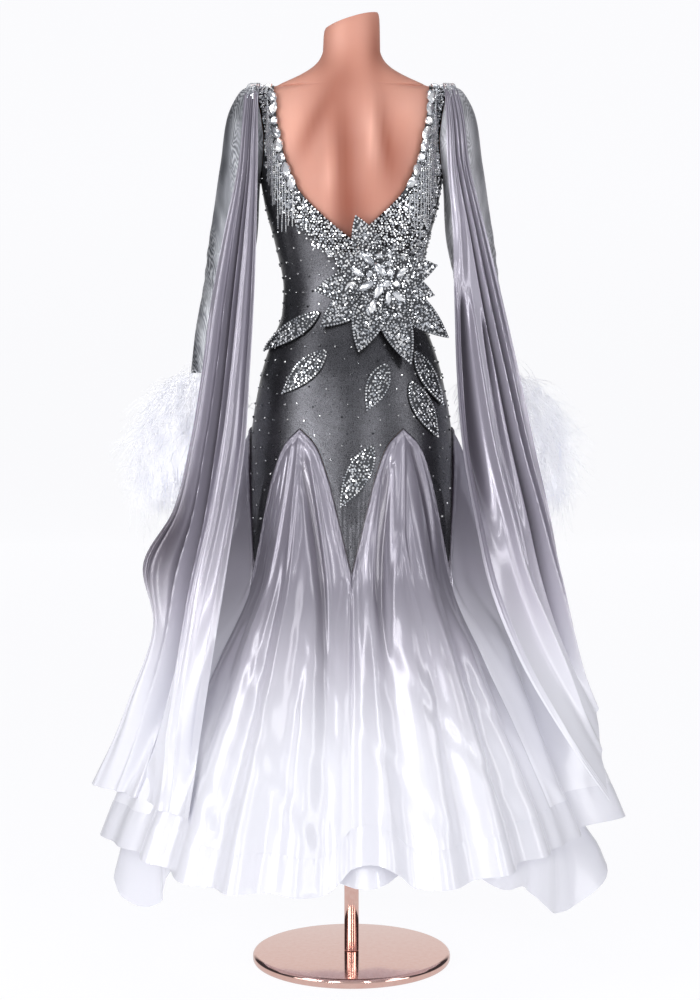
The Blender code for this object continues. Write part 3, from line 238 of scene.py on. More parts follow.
class Ring(NamedTuple):
    """A ring of the sleeve: its point next to the body, its outer point, half depth, and its middle in Y."""

    inner_x: float
    inner_z: float
    outer_x: float
    outer_z: float
    half_depth: float
    y: float


SLEEVE_RINGS = rows_of(
    Ring, (0.1515, 1.268, 0.18, 1.435, 0.047, 0.0), (0.1525, 1.25, 0.1965, 1.412, 0.043, 0.0),
    (0.155, 1.195, 0.2165, 1.31, 0.038, 0.0), (0.161, 1.16, 0.229, 1.225, 0.036, 0.0),
    (0.187, 1.05, 0.252, 1.07, 0.032, 0.006), (0.201, 0.99, 0.263, 1.0, 0.029, 0.011),
    (0.214, 0.93, 0.27, 0.93, 0.027, 0.016),
)


class Cuff(NamedTuple):
    """Reach of the feather cuff away from the body, towards it, to the back and to the front, at a height."""

    z: float
    out: float
    body: float
    back: float
    front: float


FEATHER_CUFF = rows_of(
    Cuff, (0.972, 0.037, 0.037, 0.036, 0.036), (0.955, 0.066, 0.06, 0.056, 0.066),
    (0.925, 0.092, 0.076, 0.064, 0.09), (0.885, 0.107, 0.074, 0.066, 0.105),
    (0.84, 0.112, 0.064, 0.066, 0.11), (0.795, 0.108, 0.054, 0.062, 0.104),
    (0.755, 0.092, 0.048, 0.054, 0.088), (0.735, 0.072, 0.044, 0.048, 0.07),
)
CUFF_X, CUFF_Y, CUFF_LEAN = 0.2420, 0.0145, 0.15


class Hang(NamedTuple):
    """The inner and the outer edge of a float at a row, and the depth of its folds there."""

    in_z: float
    in_x: float
    in_y: float
    out_z: float
    out_x: float
    out_y: float
    fold: float


RIGHT_FLOAT = rows_of(
    Hang, (1.4445, 0.15, -0.001, 1.4444, 0.166, -0.001, 0.0),
    (1.4425, 0.15, -0.018, 1.442, 0.168, -0.017, 0.0004),
    (1.426, 0.151, -0.047, 1.426, 0.173, -0.041, 0.002), (1.39, 0.152, -0.07, 1.39, 0.181, -0.056, 0.0035),
    (1.302, 0.154, -0.082, 1.302, 0.192, -0.064, 0.0065), (1.2, 0.162, -0.084, 1.2, 0.217, -0.066, 0.01),
    (1.08, 0.164, -0.09, 1.08, 0.246, -0.068, 0.014), (0.96, 0.167, -0.108, 0.96, 0.272, -0.078, 0.018),
    (0.85, 0.175, -0.132, 0.85, 0.293, -0.092, 0.022), (0.74, 0.193, -0.16, 0.745, 0.315, -0.104, 0.026),
    (0.63, 0.216, -0.18, 0.66, 0.33, -0.104, 0.03), (0.52, 0.26, -0.196, 0.58, 0.345, -0.096, 0.032),
    (0.4, 0.33, -0.19, 0.505, 0.364, -0.08, 0.03), (0.296, 0.403, -0.16, 0.438, 0.392, -0.066, 0.022),
)
LEFT_FLOAT = rows_of(
    Hang, (1.4445, 0.15, -0.001, 1.4444, 0.166, -0.001, 0.0),
    (1.4425, 0.15, -0.018, 1.442, 0.168, -0.017, 0.0004),
    (1.426, 0.151, -0.047, 1.426, 0.173, -0.041, 0.002), (1.39, 0.151, -0.07, 1.39, 0.176, -0.056, 0.0035),
    (1.302, 0.151, -0.082, 1.302, 0.184, -0.064, 0.0065), (1.2, 0.153, -0.084, 1.2, 0.205, -0.066, 0.01),
    (1.08, 0.157, -0.09, 1.08, 0.227, -0.068, 0.014), (0.96, 0.163, -0.108, 0.96, 0.242, -0.078, 0.018),
    (0.85, 0.169, -0.132, 0.85, 0.259, -0.092, 0.022), (0.74, 0.183, -0.16, 0.75, 0.282, -0.104, 0.026),
    (0.63, 0.1985, -0.186, 0.664, 0.328, -0.098, 0.03), (0.52, 0.215, -0.208, 0.57, 0.308, -0.11, 0.032),
    (0.4, 0.232, -0.236, 0.45, 0.35, -0.1, 0.03), (0.285, 0.247, -0.262, 0.305, 0.42, -0.07, 0.022),
)


class Pleat(NamedTuple):
    """A ridge or trough along a float: its share of the width at the top and the bottom, and its half width.

    depth is its share of the float's fold depth, below 0 for a trough. It starts and ends at shares of the
    length, grows over the share rise, bows sideways, and is widening times as wide at its end.
    """

    top: float
    low: float
    half_width: float
    depth: float
    start: float = 0.0
    end: float = 1.2
    bend: float = 0.0
    widening: float = 1.0
    rise: float = 0.10


RIGHT_PLEATS = rows_of(
    Pleat, (0.015, 0.012, 0.012, 0.3, 0.28), (0.055, 0.045, 0.012, 0.3, 0.28),
    (0.095, 0.078, 0.012, 0.26, 0.3), (0.2, 0.2, 0.15, 0.55, 0.0, 0.42),
    (0.16, 0.23, 0.03, -1.55, 0.325, 0.72, 0.0, 3.6, 0.035),
    (0.2, 0.56, 0.034, 0.7, 0.32, 1.05, 0.0, 1.3, 0.06),
    (0.49, 0.64, 0.022, -0.95, 0.36, 0.7, 0.0, 2.4, 0.03), (0.62, 0.5, 0.045, 0.45, 0.38),
    (0.35, 0.85, 0.018, -1.2, 0.0, 1.0, 0.09, 1.4), (0.42, 0.915, 0.03, 0.75, 0.0, 1.2, 0.09),
    (0.6, 0.94, 0.018, -0.65, 0.0, 0.62, 0.06), (0.7, 0.96, 0.028, 0.5, 0.0, 1.2, 0.05),
    (0.86, 0.975, 0.018, -0.45, 0.0, 0.5, 0.03),
)
LEFT_PLEATS = rows_of(
    Pleat, (0.05, 0.03, 0.02, 0.4), (0.12, 0.07, 0.022, -0.6, 0.0, 0.62),
    (0.21, 0.33, 0.085, 0.95, 0.0, 1.2, 0.0, 2.0), (0.17, 0.23, 0.014, 0.2, 0.05),
    (0.27, 0.35, 0.014, 0.2, 0.05), (0.37, 0.46, 0.026, -0.7, 0.0, 0.62),
    (0.45, 0.56, 0.022, 0.5, 0.0, 0.9, -0.04), (0.56, 0.74, 0.034, -1.5, 0.0, 1.05, -0.08, 1.3),
    (0.64, 0.8, 0.02, 0.65, 0.0, 1.2, -0.06), (0.685, 0.84, 0.016, -0.7, 0.0, 0.9, -0.05),
    (0.82, 0.89, 0.08, 0.8), (0.96, 0.965, 0.02, 0.3, 0.3),
)
# Distance out of the floats' outer edges, without the curls that they make on the way down.
RIGHT_EDGE_LINE = rows_of(
    Pair, (0.438, 0.392), (0.58, 0.345), (0.745, 0.315), (0.85, 0.293),
)
LEFT_EDGE_LINE = rows_of(
    Pair, (0.305, 0.372), (0.45, 0.335), (0.57, 0.304), (0.664, 0.286), (0.75, 0.27), (0.85, 0.259),
)

BASE_RADIUS, BASE_HEIGHT, POLE_RADIUS = 0.1625, 0.016, 0.012
SEAM_GAP, CLOTH, FORM_CLEARANCE, FORM_FOOT, SOCKET_DEPTH = 0.0003, 0.0015, 0.0052, 0.790, 0.060
NECK_LOW, NECK_HIGH = 1.536, 1.562
# Depth of the form's upper back at its middle.
UPPER_BACK = rows_of(
    Pair, (1.345, 0.079), (1.38, 0.0755), (1.41, 0.07), (1.436, 0.0635), (1.46, 0.056), (1.485, 0.049),
    (1.5, 0.0455),
)


# ---- small mathematics -----------------------------------------------------------------------------------
def along_table(rows: tuple, column: str, at: Array) -> Array:
    """Reads a column of a table on a curve that never overshoots the rows.

    Args:
        rows: Table rows, whose first column is the key.
        column: Name of the column that is read.
        at: Keys to read it at.

    Returns:
        The column's values there.
    """
    keys = np.array([row[0] for row in rows], float)
    values = np.array([getattr(row, column) for row in rows], float)
    order = np.argsort(keys)
    keys, values = keys[order], values[order]
    rise = np.diff(values) / np.diff(keys)
    slope = np.concatenate([rise[:1], np.zeros(len(rise) - 1), rise[-1:]])
    both = rise[:-1] * rise[1:]
    total = np.where(both > 0, rise[:-1] + rise[1:], 1.0)
    slope[1:-1] = np.where(both > 0, 2 * both / total, 0.0)
    x = np.clip(np.asarray(at, float), keys[0], keys[-1])
    i = np.clip(np.searchsorted(keys, x, side="right") - 1, 0, len(keys) - 2)
    step = keys[i + 1] - keys[i]
    t = (x - keys[i]) / step
    lift = values[i + 1] - values[i]
    return (values[i] + step * slope[i] * (t - 2 * t**2 + t**3) + lift * (3 * t**2 - 2 * t**3)
            + step * slope[i + 1] * (t**3 - t**2))


def mix(a: Array, b: Array, share: Array) -> Array:
    """Returns the value between a and b at a share of the way."""
    return a + (b - a) * share


def soft_step(share: Array) -> Array:
    """Returns a smooth step from 0 to 1 over the same range of share."""
    share = np.clip(share, 0.0, 1.0)
    return share * share * (3 - 2 * share)


def hump(away: Array, wide: Array) -> Array:
    """Returns a bell of height 1 that is mostly gone two widths away from its middle."""
    return np.exp(-((away / wide) ** 2))


def ripple(x: Array, seed: int, octaves: int = 3) -> Array:
    """Returns smooth one-dimensional noise of about -1 to 1, one wave per unit of x."""
    rng = np.random.default_rng(seed)
    total = np.zeros_like(x)
    for k in range(octaves):
        total = total + np.sin(TURN * x * (1.0 + 0.73 * k) + rng.uniform(0, TURN)) / (1 + k)
    return total / 1.6


def at_angle(*parts: Array) -> Array:
    """Returns points from their coordinates, which are spread to one shape."""
    return np.stack(np.broadcast_arrays(*parts), axis=-1).astype(float)


# ---- surfaces of the dress -------------------------------------------------------------------------------
def figure_point(phi: Array, z: Array, out: Array = 0.0, roll: Array = 1.0) -> Array:
    """Points of the sheath's outer face.

    Args:
        phi: Angles from the middle of the back.
        z: Heights.
        out: Distances by which the points are moved out.
        roll: Share of the depth that is kept, less than 1 where the panels turn over the shoulder.

    Returns:
        The points.
    """
    phi, z = np.broadcast_arrays(np.asarray(phi, float), np.asarray(z, float))
    half = along_table(FIGURE, "half_width", z)
    facing = -np.cos(phi)
    side = np.degrees(np.abs(np.arctan2(np.sin(phi), -np.cos(phi))))
    bust = 0.020 * np.exp(-(((side - 36) / 20) ** 2) - ((z - 1.238) / 0.042) ** 2)
    depth = np.where(facing < 0, along_table(FIGURE, "back", z), along_table(FIGURE, "front", z) + bust)
    across, deep = np.sin(phi) / half, facing / depth
    size = np.hypot(across, deep)
    return at_angle(half * np.sin(phi) + across / size * out, depth * facing * roll + deep / size * out, z)


def arch_share(phi: Array) -> Array:
    """Returns 0 at a point of the sheath and 1 at a godet's peak."""
    cell = TURN / GODETS
    return np.abs((phi + cell / 2) % cell - cell / 2) / (cell / 2)


def seam_height(phi: Array) -> Array:
    """Returns the height of the zigzag seam between the sheath and the godets."""
    return mix(TIP_Z, PEAK_Z, along_table(GODET_ARCH, "value", arch_share(phi)))


def hem_height(phi: Array) -> Array:
    """Returns the height of the top skirt's hem."""
    return along_table(HEM_LEVELS, "value", np.degrees(phi) % 360)


def fold_height(phi: Array) -> Array:
    """Returns how far the skirt's folds stand out at the hem."""
    degrees = np.degrees(phi) % 360
    height = np.zeros_like(degrees)
    for fold in SKIRT_FOLDS:
        away = np.abs((degrees - fold.degrees + 180) % 360 - 180) / fold.spread
        height += np.where(away < 1, fold.height * (0.5 + 0.5 * np.cos(math.pi * np.minimum(away, 1))), 0.0)
    return height


def crease_height(phi: Array, z: Array, creases: tuple) -> Array:
    """How far a set of creases moves the cloth out.

    Args:
        phi: Angles of the cloth's points.
        z: Their heights.
        creases: The ridges and troughs.

    Returns:
        Distances in metres.
    """
    degrees = (np.degrees(phi) + 180) % 360 - 180
    radius = along_table(FIGURE, "half_width", z)
    height = np.zeros(np.broadcast(phi, z).shape)
    for crease in creases:
        t = (crease.start_z - z) / (crease.start_z - crease.end_z)
        inside = np.clip(t, 0, 1)
        middle = mix(crease.start, crease.end, np.clip(t, -0.2, 1.3)) + crease.bow * 4 * inside * (1 - inside)
        away = np.radians((degrees - middle + 180) % 360 - 180) * radius
        wide = mix(crease.wide, crease.wide_end, inside) * MILLI
        grown = soft_step(t / crease.rise) * soft_step((1 + 0.25 - t) / (crease.fade + 0.25))
        height = height + crease.height * MILLI * grown * hump(away, wide)
    return height


def skirt_stand(phi: Array, z: Array) -> Array:
    """Returns how far the top skirt stands away from the figure."""
    drop = np.maximum(seam_height(phi) - z, 0.0)
    beside = soft_step((0.60 - np.abs(np.cos(phi))) / 0.25)
    swell = along_table(GODET_SWELL, "value", drop) + along_table(SIDE_SWELL, "value", drop) * beside
    bridged = SEAM_FILL * soft_step((TIP_Z - z) / 0.13) * (0.25 + np.sin(phi) ** 2)
    swell = swell * (1 - (1 - bridged) * np.cos(phi * GODETS / 2) ** 2)
    return swell + fold_height(phi) * soft_step((drop - FOLD_START) / (FOLD_FULL - FOLD_START))


def skirt_point(phi: Array, z: Array, more: Array = 0.0) -> Array:
    """Returns points of the top skirt, moved out by a further distance."""
    return figure_point(phi, z, skirt_stand(phi, z) + more)


def outside_skirt(points: Array, room: float, cling: Array) -> Array:
    """Moves cloth that would lie under the skirt's face back until it is outside it.

    Args:
        points: Points of the cloth.
        room: Distance that they keep from the face.
        cling: Share of the way that points in front of the face are laid against it.

    Returns:
        The points.
    """
    levels, turns = np.linspace(0.24, 0.90, 67), np.linspace(-math.pi, math.pi, 721)
    table = []
    for level in levels:
        rim = skirt_point(np.linspace(0, TURN, 721), np.full(721, level))
        table.append(np.interp(turns, np.arctan2(rim[:, 0], -rim[:, 1]), np.hypot(rim[:, 0], rim[:, 1]),
                               period=TURN))
    table = np.array(table)
    x, y, z = points[..., 0], points[..., 1], points[..., 2]
    up = np.clip((z - levels[0]) / (levels[1] - levels[0]), 0, len(levels) - 1.001)
    low, moved = up.astype(int), y
    for _ in range(6):
        turn = (np.arctan2(x, -moved) + math.pi) / (turns[1] - turns[0])
        left = np.clip(turn.astype(int), 0, len(turns) - 2)
        across = turn - left
        radius = mix(mix(table[low, left], table[low, left + 1], across),
                     mix(table[low + 1, left], table[low + 1, left + 1], across), up - low) + room
        wanted = -np.sqrt(np.maximum(radius**2 - x**2, 0.0))
        over = soft_step((radius - np.abs(x) * 1.06) / 0.07)
        held = mix(y, np.maximum(wanted, y), cling * over)
        eased = (held + wanted - np.sqrt((held - wanted) ** 2 + 0.006**2)) / 2
        moved = mix(y, eased, soft_step((0.92 - z) / 0.06))
    return np.stack([x, moved, z], axis=-1)


def edge_angle(table: tuple, z: Array) -> Array:
    """Returns the angle at which an edge of the bodice crosses a height."""
    return np.arcsin(np.minimum(along_table(table, "value", z) / along_table(FIGURE, "half_width", z), 1.0))


def shoulder_roll(z: Array) -> Array:
    """Returns the share of its depth that the bodice keeps near the shoulder seam."""
    share = (z - SHOULDER_ROLL_Z) / (SHOULDER_Z - SHOULDER_ROLL_Z)
    return np.where(share > 0, np.sqrt(np.maximum(1.0 - soft_step(share) ** 2, 0.0)), 1.0)


# ---- mesh helpers ----------------------------------------------------------------------------------------
def new_mesh(name: str, points: Array, faces: Array | list, finish: Finish, uv: Array | None = None,
             smooth: bool = True, hollow: Array | None = None) -> Thing:
    """Adds a mesh as one object at the origin.

    Args:
        name: The object's name.
        points: Its vertices.
        faces: Its faces, as rows of vertex numbers.
        finish: Its finish.
        uv: One pair of texture coordinates for each vertex, or None.
        smooth: Whether its faces are shaded as one curved surface.
        hollow: Share of painted shade at each vertex, or None.

    Returns:
        The object.
    """
    mesh = bpy.data.meshes.new(name)
    mesh.from_pydata(np.asarray(points).tolist(), [],
                     faces.tolist() if isinstance(faces, np.ndarray) else faces)
    if uv is not None:
        layer = mesh.uv_layers.new(name="cloth")
        corners = np.empty(len(mesh.loops), dtype=np.int32)
        mesh.loops.foreach_get("vertex_index", corners)
        layer.data.foreach_set("uv", np.asarray(uv, np.float32)[corners].ravel())
    if hollow is not None:
        tones = mesh.attributes.new("hollow", "FLOAT", "POINT")
        tones.data.foreach_set("value", np.asarray(hollow, np.float32).ravel())
    if smooth:
        mesh.shade_smooth()
    mesh.materials.append(finish.material())
    thing = bpy.data.objects.new(name, mesh)
    bpy.context.scene.collection.objects.link(thing)
    return thing


def side_name(side: int) -> str:
    """Returns the name of the wearer's right (1) or left (-1)."""
    return "right" if side > 0 else "left"


def mirrored(points: Array, faces: list, side: int) -> tuple[Array, list]:
    """Returns the vertices and faces of a right-hand piece as they are on a side."""
    return points * [side, 1, 1], [face[::-1] for face in faces] if side < 0 else faces


def settle(piece: Thing, nodes: tuple[str, ...]) -> None:
    """Hangs a piece on the root body, hides the solids that it stands for and logs its faces."""
    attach(piece, "root")
    if nodes:
        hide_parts(*nodes)
    log.info("%s: %d faces", piece.name, len(piece.data.polygons))


def grid_quads(high: int, wide: int, closed: bool = False) -> Array:
    """Returns the vertex numbers of the corners of a grid's cells, in order round each cell."""
    i, j = np.meshgrid(np.arange(high - 1), np.arange(wide if closed else wide - 1), indexing="ij")
    right = (j + 1) % wide
    return np.stack([i * wide + j, i * wide + right, (i + 1) * wide + right, (i + 1) * wide + j], axis=-1)


def grid_lengths(grid: Array) -> tuple[Array, Array]:
    """Returns the length across each row up to each column, and the length down each column."""
    across = np.linalg.norm(np.diff(grid, axis=1), axis=2)
    down = np.linalg.norm(np.diff(grid, axis=0), axis=2)
    return (np.concatenate([np.zeros((len(grid), 1)), np.cumsum(across, axis=1)], axis=1),
            np.concatenate([np.zeros((1, grid.shape[1])), np.cumsum(down, axis=0)], axis=0))


def grid_normals(grid: Array, closed: bool) -> Array:
    """Returns a normal at each point of a grid, from its neighbours."""
    down = np.gradient(grid, axis=0)
    if closed:
        across = np.roll(grid, -1, axis=1) - np.roll(grid, 1, axis=1)
    else:
        across = np.gradient(grid, axis=1)
    normal = np.cross(across, down)
    return normal / np.maximum(np.linalg.norm(normal, axis=2, keepdims=True), 1e-12)


def thin_wall(grid: Array, quads: Array, outward: Array, thickness: float,
              closed: bool = False) -> tuple[Array, Array]:
    """Gives a grid of cloth its thickness.

    Args:
        grid: Points of the outer face.
        quads: Vertex numbers of its cells' corners.
        outward: A rough direction out of the cloth at each point, or one for all.
        thickness: Thickness of the wall.
        closed: Whether the grid is a tube.

    Returns:
        The vertices and faces of the closed wall.
    """
    normals = grid_normals(grid, closed)
    if np.sum(normals * outward) < 0:
        normals = -normals
        quads = quads[:, ::-1]
    outer = grid.reshape(-1, 3)
    inner = outer - normals.reshape(-1, 3) * thickness
    count = len(outer)
    start, end = quads.ravel(), np.roll(quads, -1, axis=1).ravel()
    paired = np.isin(start * count + end, end * count + start)
    start, end = start[~paired], end[~paired]
    rims = np.stack([end, start, start + count, end + count], axis=-1)
    return np.concatenate([outer, inner]), np.concatenate([quads, quads[:, ::-1] + count, rims])


class Held(Enum):
    """How a sheet of cloth is held."""

    STRETCHED = "stretched"
    GATHERED = "gathered"
    HUNG = "hung"


@dataclass
class Cloth:
    """A cloth piece: a thin wall whose outer face is a grid of points.

    Attributes:
        name: Name of the piece.
        grid: Points of its outer face, rows down and columns across.
        outward: A rough direction out of the cloth at each point, or one for all.
        finish: The finish.
        slot: Name of a material slot; not used.
        nodes: The solids that it stands for.
        held: How it is held; not used.
        rests_on: What it hangs from or lies on; not used.
        thickness: Thickness of its wall.
        closed: Whether it is a tube.
        cells: Which cells of the grid are cloth, or None for all.
        hollow: Share of painted shade at each point of the grid, or None.
    """

    name: str
    grid: Array
    outward: Array
    finish: Finish
    slot: str
    nodes: tuple[str, ...]
    held: Held
    rests_on: tuple[str, ...]
    thickness: float = 0.0008
    closed: bool = False
    cells: Array | None = None
    hollow: Array | None = None

    def cell_corners(self) -> Array:
        """Returns the vertex numbers of each cloth cell's corners, in order round it."""
        quads = grid_quads(*self.grid.shape[:2], self.closed)
        return quads[self.cells] if self.cells is not None else quads.reshape(-1, 4)

    def build(self) -> Thing:
        """Returns its object."""
        across, down = grid_lengths(self.grid)
        pairs = np.stack([across - across[:, -1:] / 2, -down], axis=-1).reshape(-1, 2)
        points, faces = thin_wall(self.grid, self.cell_corners(), self.outward, self.thickness, self.closed)
        used = np.zeros(len(points), bool)
        used[faces.ravel()] = True
        renumber = np.cumsum(used) - 1
        painted_shading = None if self.hollow is None else np.tile(self.hollow.ravel(), 2)[used]
        piece = new_mesh(self.name, points[used], renumber[faces], self.finish,
                         np.concatenate([pairs, pairs])[used], hollow=painted_shading)
        piece.data.set_sharp_from_angle(angle=math.radians(70))
        settle(piece, self.nodes)
        return piece


# ---- finishes --------------------------------------------------------------------------------------------
def linear(colour: str) -> tuple[float, float, float, float]:
    """Returns an sRGB hex colour as linear red, green, blue and alpha."""
    parts = [int(colour[k:k + 2], 16) / 255 for k in (0, 2, 4)]
    return (*[p / 12.92 if p <= 0.04045 else ((p + 0.055) / 1.055) ** 2.4 for p in parts], 1.0)


def add_node(tree: Tree, kind: str, links: dict | None = None, values: dict | None = None,
             **settings: object) -> bpy.types.Node:
    """Adds a node to a material.

    Args:
        tree: The material's node tree.
        kind: Blender's name of the node's type.
        links: Sockets that feed its inputs, by input.
        values: Values of its other inputs, by input.
        **settings: Its other settings.

    Returns:
        The node.
    """
    made = tree.nodes.new(kind)
    for name, value in settings.items():
        setattr(made, name, value)
    for key, value in (values or {}).items():
        made.inputs[key].default_value = value
    for key, socket in (links or {}).items():
        tree.links.new(socket, made.inputs[key])
    return made


def ramp(tree: Tree, share: Socket, *stops: tuple[float, str]) -> Socket:
    """Returns a colour that runs through stops of (place, sRGB hex) as a share goes from 0 to 1."""
    made = add_node(tree, "ShaderNodeValToRGB", {"Fac": share})
    line = made.color_ramp
    while len(line.elements) < len(stops):
        line.elements.new(0.5)
    for element, (place, colour) in zip(line.elements, stops):
        element.position = place
    for element, (place, colour) in zip(line.elements, stops):
        element.color = linear(colour)
    return made.outputs["Color"]


def noise(tree: Tree, place: Socket, scale: float, detail: float = 2.0,
          stretch: tuple[float, float, float] = (1.0, 1.0, 1.0)) -> Socket:
    """Returns cloudy noise from 0 to 1, scale waves a metre, drawn out along axes that stretch shrinks."""
    moved = add_node(tree, "ShaderNodeMapping", {"Vector": place}, {"Scale": stretch}).outputs["Vector"]
    made = add_node(tree, "ShaderNodeTexNoise", {"Vector": moved},
                    {"Scale": scale, "Detail": detail, "Roughness": 0.55})
    return made.outputs["Fac"]


def math_node(tree: Tree, kind: str, *parts: object) -> Socket:
    """Returns the result of a sum on sockets and numbers."""
    made = add_node(tree, "ShaderNodeMath", operation=kind)
    for k, part in enumerate(parts):
        if isinstance(part, Socket):
            tree.links.new(part, made.inputs[k])
        else:
            made.inputs[k].default_value = part
    return made.outputs["Value"]


def times(tree: Tree, a: object, b: object) -> Socket:
    """Returns the product of sockets or numbers."""
    return math_node(tree, "MULTIPLY", a, b)


def plus(tree: Tree, a: object, b: object) -> Socket:
    """Returns the total of sockets or numbers."""
    return math_node(tree, "ADD", a, b)


def object_place(tree: Tree) -> Socket:
    """Returns the place in metres, so that a pattern keeps its real size."""
    return add_node(tree, "ShaderNodeTexCoord").outputs["Object"]


def painted_shade_share(tree: Tree) -> Socket:
    """Returns the share of painted shade that the mesh carries."""
    return add_node(tree, "ShaderNodeAttribute", attribute_name="hollow").outputs["Fac"]


def risen(tree: Tree, value: Socket, start: float, end: float, smooth: bool = False) -> Socket:
    """Returns 0 to 1 as a value goes from start to end."""
    kind = "SMOOTHSTEP" if smooth else "LINEAR"
    return add_node(tree, "ShaderNodeMapRange", {"Value": value}, {"From Min": start, "From Max": end},
                    interpolation_type=kind).outputs["Result"]


def between(tree: Tree, value: Socket, low: float, high: float) -> Socket:
    """Returns low to high as a value goes from 0 to 1."""
    return add_node(tree, "ShaderNodeMapRange", {"Value": value},
                    {"To Min": low, "To Max": high}).outputs["Result"]


def tinted(tree: Tree, share: Socket, colour: Socket, tint: str, blend: str = "MIX") -> Socket:
    """Returns a colour that goes over to a tint, an sRGB hex colour, by a share."""
    return add_node(tree, "ShaderNodeMix", {0: share, 6: colour}, {7: linear(tint)}, data_type="RGBA",
                    blend_type=blend).outputs[2]


def relief(tree: Tree, shader: bpy.types.Node, height: Socket, depth: float, strength: float) -> None:
    """Feeds a height pattern of a depth in metres to the shader as bump."""
    made = add_node(tree, "ShaderNodeBump", {"Height": height}, {"Strength": strength, "Distance": depth})
    tree.links.new(made.outputs["Normal"], shader.inputs["Normal"])


def fill(shader: bpy.types.Node, **values: object) -> None:
    """Feeds sockets and sets numbers into the shader's inputs, whose spaces are written as underscores."""
    for name, value in values.items():
        entry = shader.inputs[name.replace("_", " ")]
        if isinstance(value, Socket):
            shader.id_data.links.new(value, entry)
        else:
            entry.default_value = value


@dataclass(frozen=True)
class Finish:
    """A finish, which makes its material once."""

    name: str

    def material(self) -> bpy.types.Material:
        """Returns the finish's material."""
        found = bpy.data.materials.get(self.name)
        if found is None:
            found = bpy.data.materials.new(self.name)
            found.use_nodes = True
            self.dress(found.node_tree, found.node_tree.nodes["Principled BSDF"])
        return found

    def dress(self, tree: Tree, shader: bpy.types.Node) -> None:
        """Builds the finish's nodes."""
        raise NotImplementedError


@dataclass(frozen=True)
class DyedSatin(Finish):
    """Polyester satin with long floats of yarn, dyed by dipping from mauve grey above to white below.

    The eye sees a soft, broad sheen with thin bright lines along every crest, and small puckers beside the
    seam at its top.
    """

    upper: str = "807C88"
    middle: str = "B4B1BC"
    lower: str = "D7D7DF"
    fade_top: float = 0.700
    fade_foot: float = 0.340
    puckers: bool = False

    def dye(self, tree: Tree, place: Socket) -> Socket:
        """Returns the share of the upper colour, which fades down the skirt with a soft, uneven edge."""
        level = add_node(tree, "ShaderNodeSeparateXYZ", {0: place}).outputs["Z"]
        cloud = times(tree, noise(tree, place, 7.0), 0.05)
        return risen(tree, plus(tree, level, cloud), self.fade_foot + 0.025, self.fade_top + 0.025,
                     smooth=True)

    def pucker_height(self, tree: Tree) -> tuple[Socket, Socket]:
        """Returns the height of the puckers, 8 mm apart, beside the top seam, and the seam's painted shadow.
        """
        spot = add_node(tree, "ShaderNodeSeparateXYZ",
                        {0: add_node(tree, "ShaderNodeUVMap", uv_map="cloth").outputs["UV"]})
        along, down = spot.outputs["X"], times(tree, spot.outputs["Y"], -1.0)
        slanted = plus(tree, math_node(tree, "ABSOLUTE", along), times(tree, down, 0.9))
        wave = math_node(tree, "SINE", times(tree, slanted, TURN / 0.008))
        near = risen(tree, down, 0.014, 0.003, smooth=True)
        seam = risen(tree, down, 0.0024, 0.0008)
        return times(tree, wave, near), seam

    def dress(self, tree: Tree, shader: bpy.types.Node) -> None:
        """Builds the finish's nodes."""
        place = object_place(tree)
        share = self.dye(tree, place)
        colour = ramp(tree, share, (0.0, self.lower), (0.5, self.middle), (1.0, self.upper))
        # Yarn slubs about 2 mm across and 80 mm long, drawn coarser than the real yarn so that they show.
        slub = noise(tree, place, 480.0, 1.0, (1.0, 1.0, 0.025))
        # Soft drags in the cloth, 6 cm across and 25 cm long.
        drag = noise(tree, place, 16.0, 1.0, (1.0, 1.0, 0.25))
        height = plus(tree, times(tree, slub, 0.005), drag)
        if self.puckers:
            # Puckers beside the top seam, and painted shadow: a thin dark line along the seam itself.
            pucker, seam = self.pucker_height(tree)
            height = plus(tree, height, times(tree, pucker, 0.11))
            colour = tinted(tree, seam, colour, "3A383F")
        # Painted shade in the bottoms of deep folds and in other places that the mesh marks, strongest on the
        # mauve and faint on the white.
        painted_shade = painted_shade_share(tree)
        painted_shade = times(tree, painted_shade, math_node(tree, "MULTIPLY_ADD", share, 0.92, 0.08))
        colour = tinted(tree, painted_shade, colour, "5C515E", "MULTIPLY")
        relief(tree, shader, height, 0.006, 0.35)
        fill(shader, Base_Color=colour, Metallic=times(tree, share, 0.40), Roughness=0.28, Coat_Weight=0.55,
             Coat_Roughness=0.08)
        # Light that pale folds pass on to each other, which few bounces between them would lose.
        fill(shader, Emission_Color=colour, Emission_Strength=0.12)


@dataclass(frozen=True)
class FoilJersey(Finish):
    """Black stretch jersey with a crackled metallic foil.

    The eye sees dark cloth whose foil grain lights up where it faces the light.
    """

    dark: str = "1A1A1E"
    light: str = "76767B"

    def dress(self, tree: Tree, shader: bpy.types.Node) -> None:
        """Builds the finish's nodes."""
        place = object_place(tree)
        # Foil flakes of about 1.2 mm, drawn coarser than the real ones so that they show.
        grain = noise(tree, place, 850.0, 3.0)
        patch = noise(tree, place, 22.0, 2.0)
        share = plus(tree, times(tree, grain, 1.5), times(tree, patch, 0.3))
        colour = ramp(tree, math_node(tree, "SUBTRACT", share, 0.4), (0.15, self.dark), (0.95, self.light))
        # Painted shade: the foil goes nearly black where the stones are closely set, for the shade in the
        # gaps between them.
        crust_shade = painted_shade_share(tree)
        relief(tree, shader, grain, 0.0005, 0.35)
        fill(shader, Base_Color=tinted(tree, crust_shade, colour, "0C0C0E"), Metallic=0.90,
             Roughness=between(tree, grain, 0.20, 0.38))


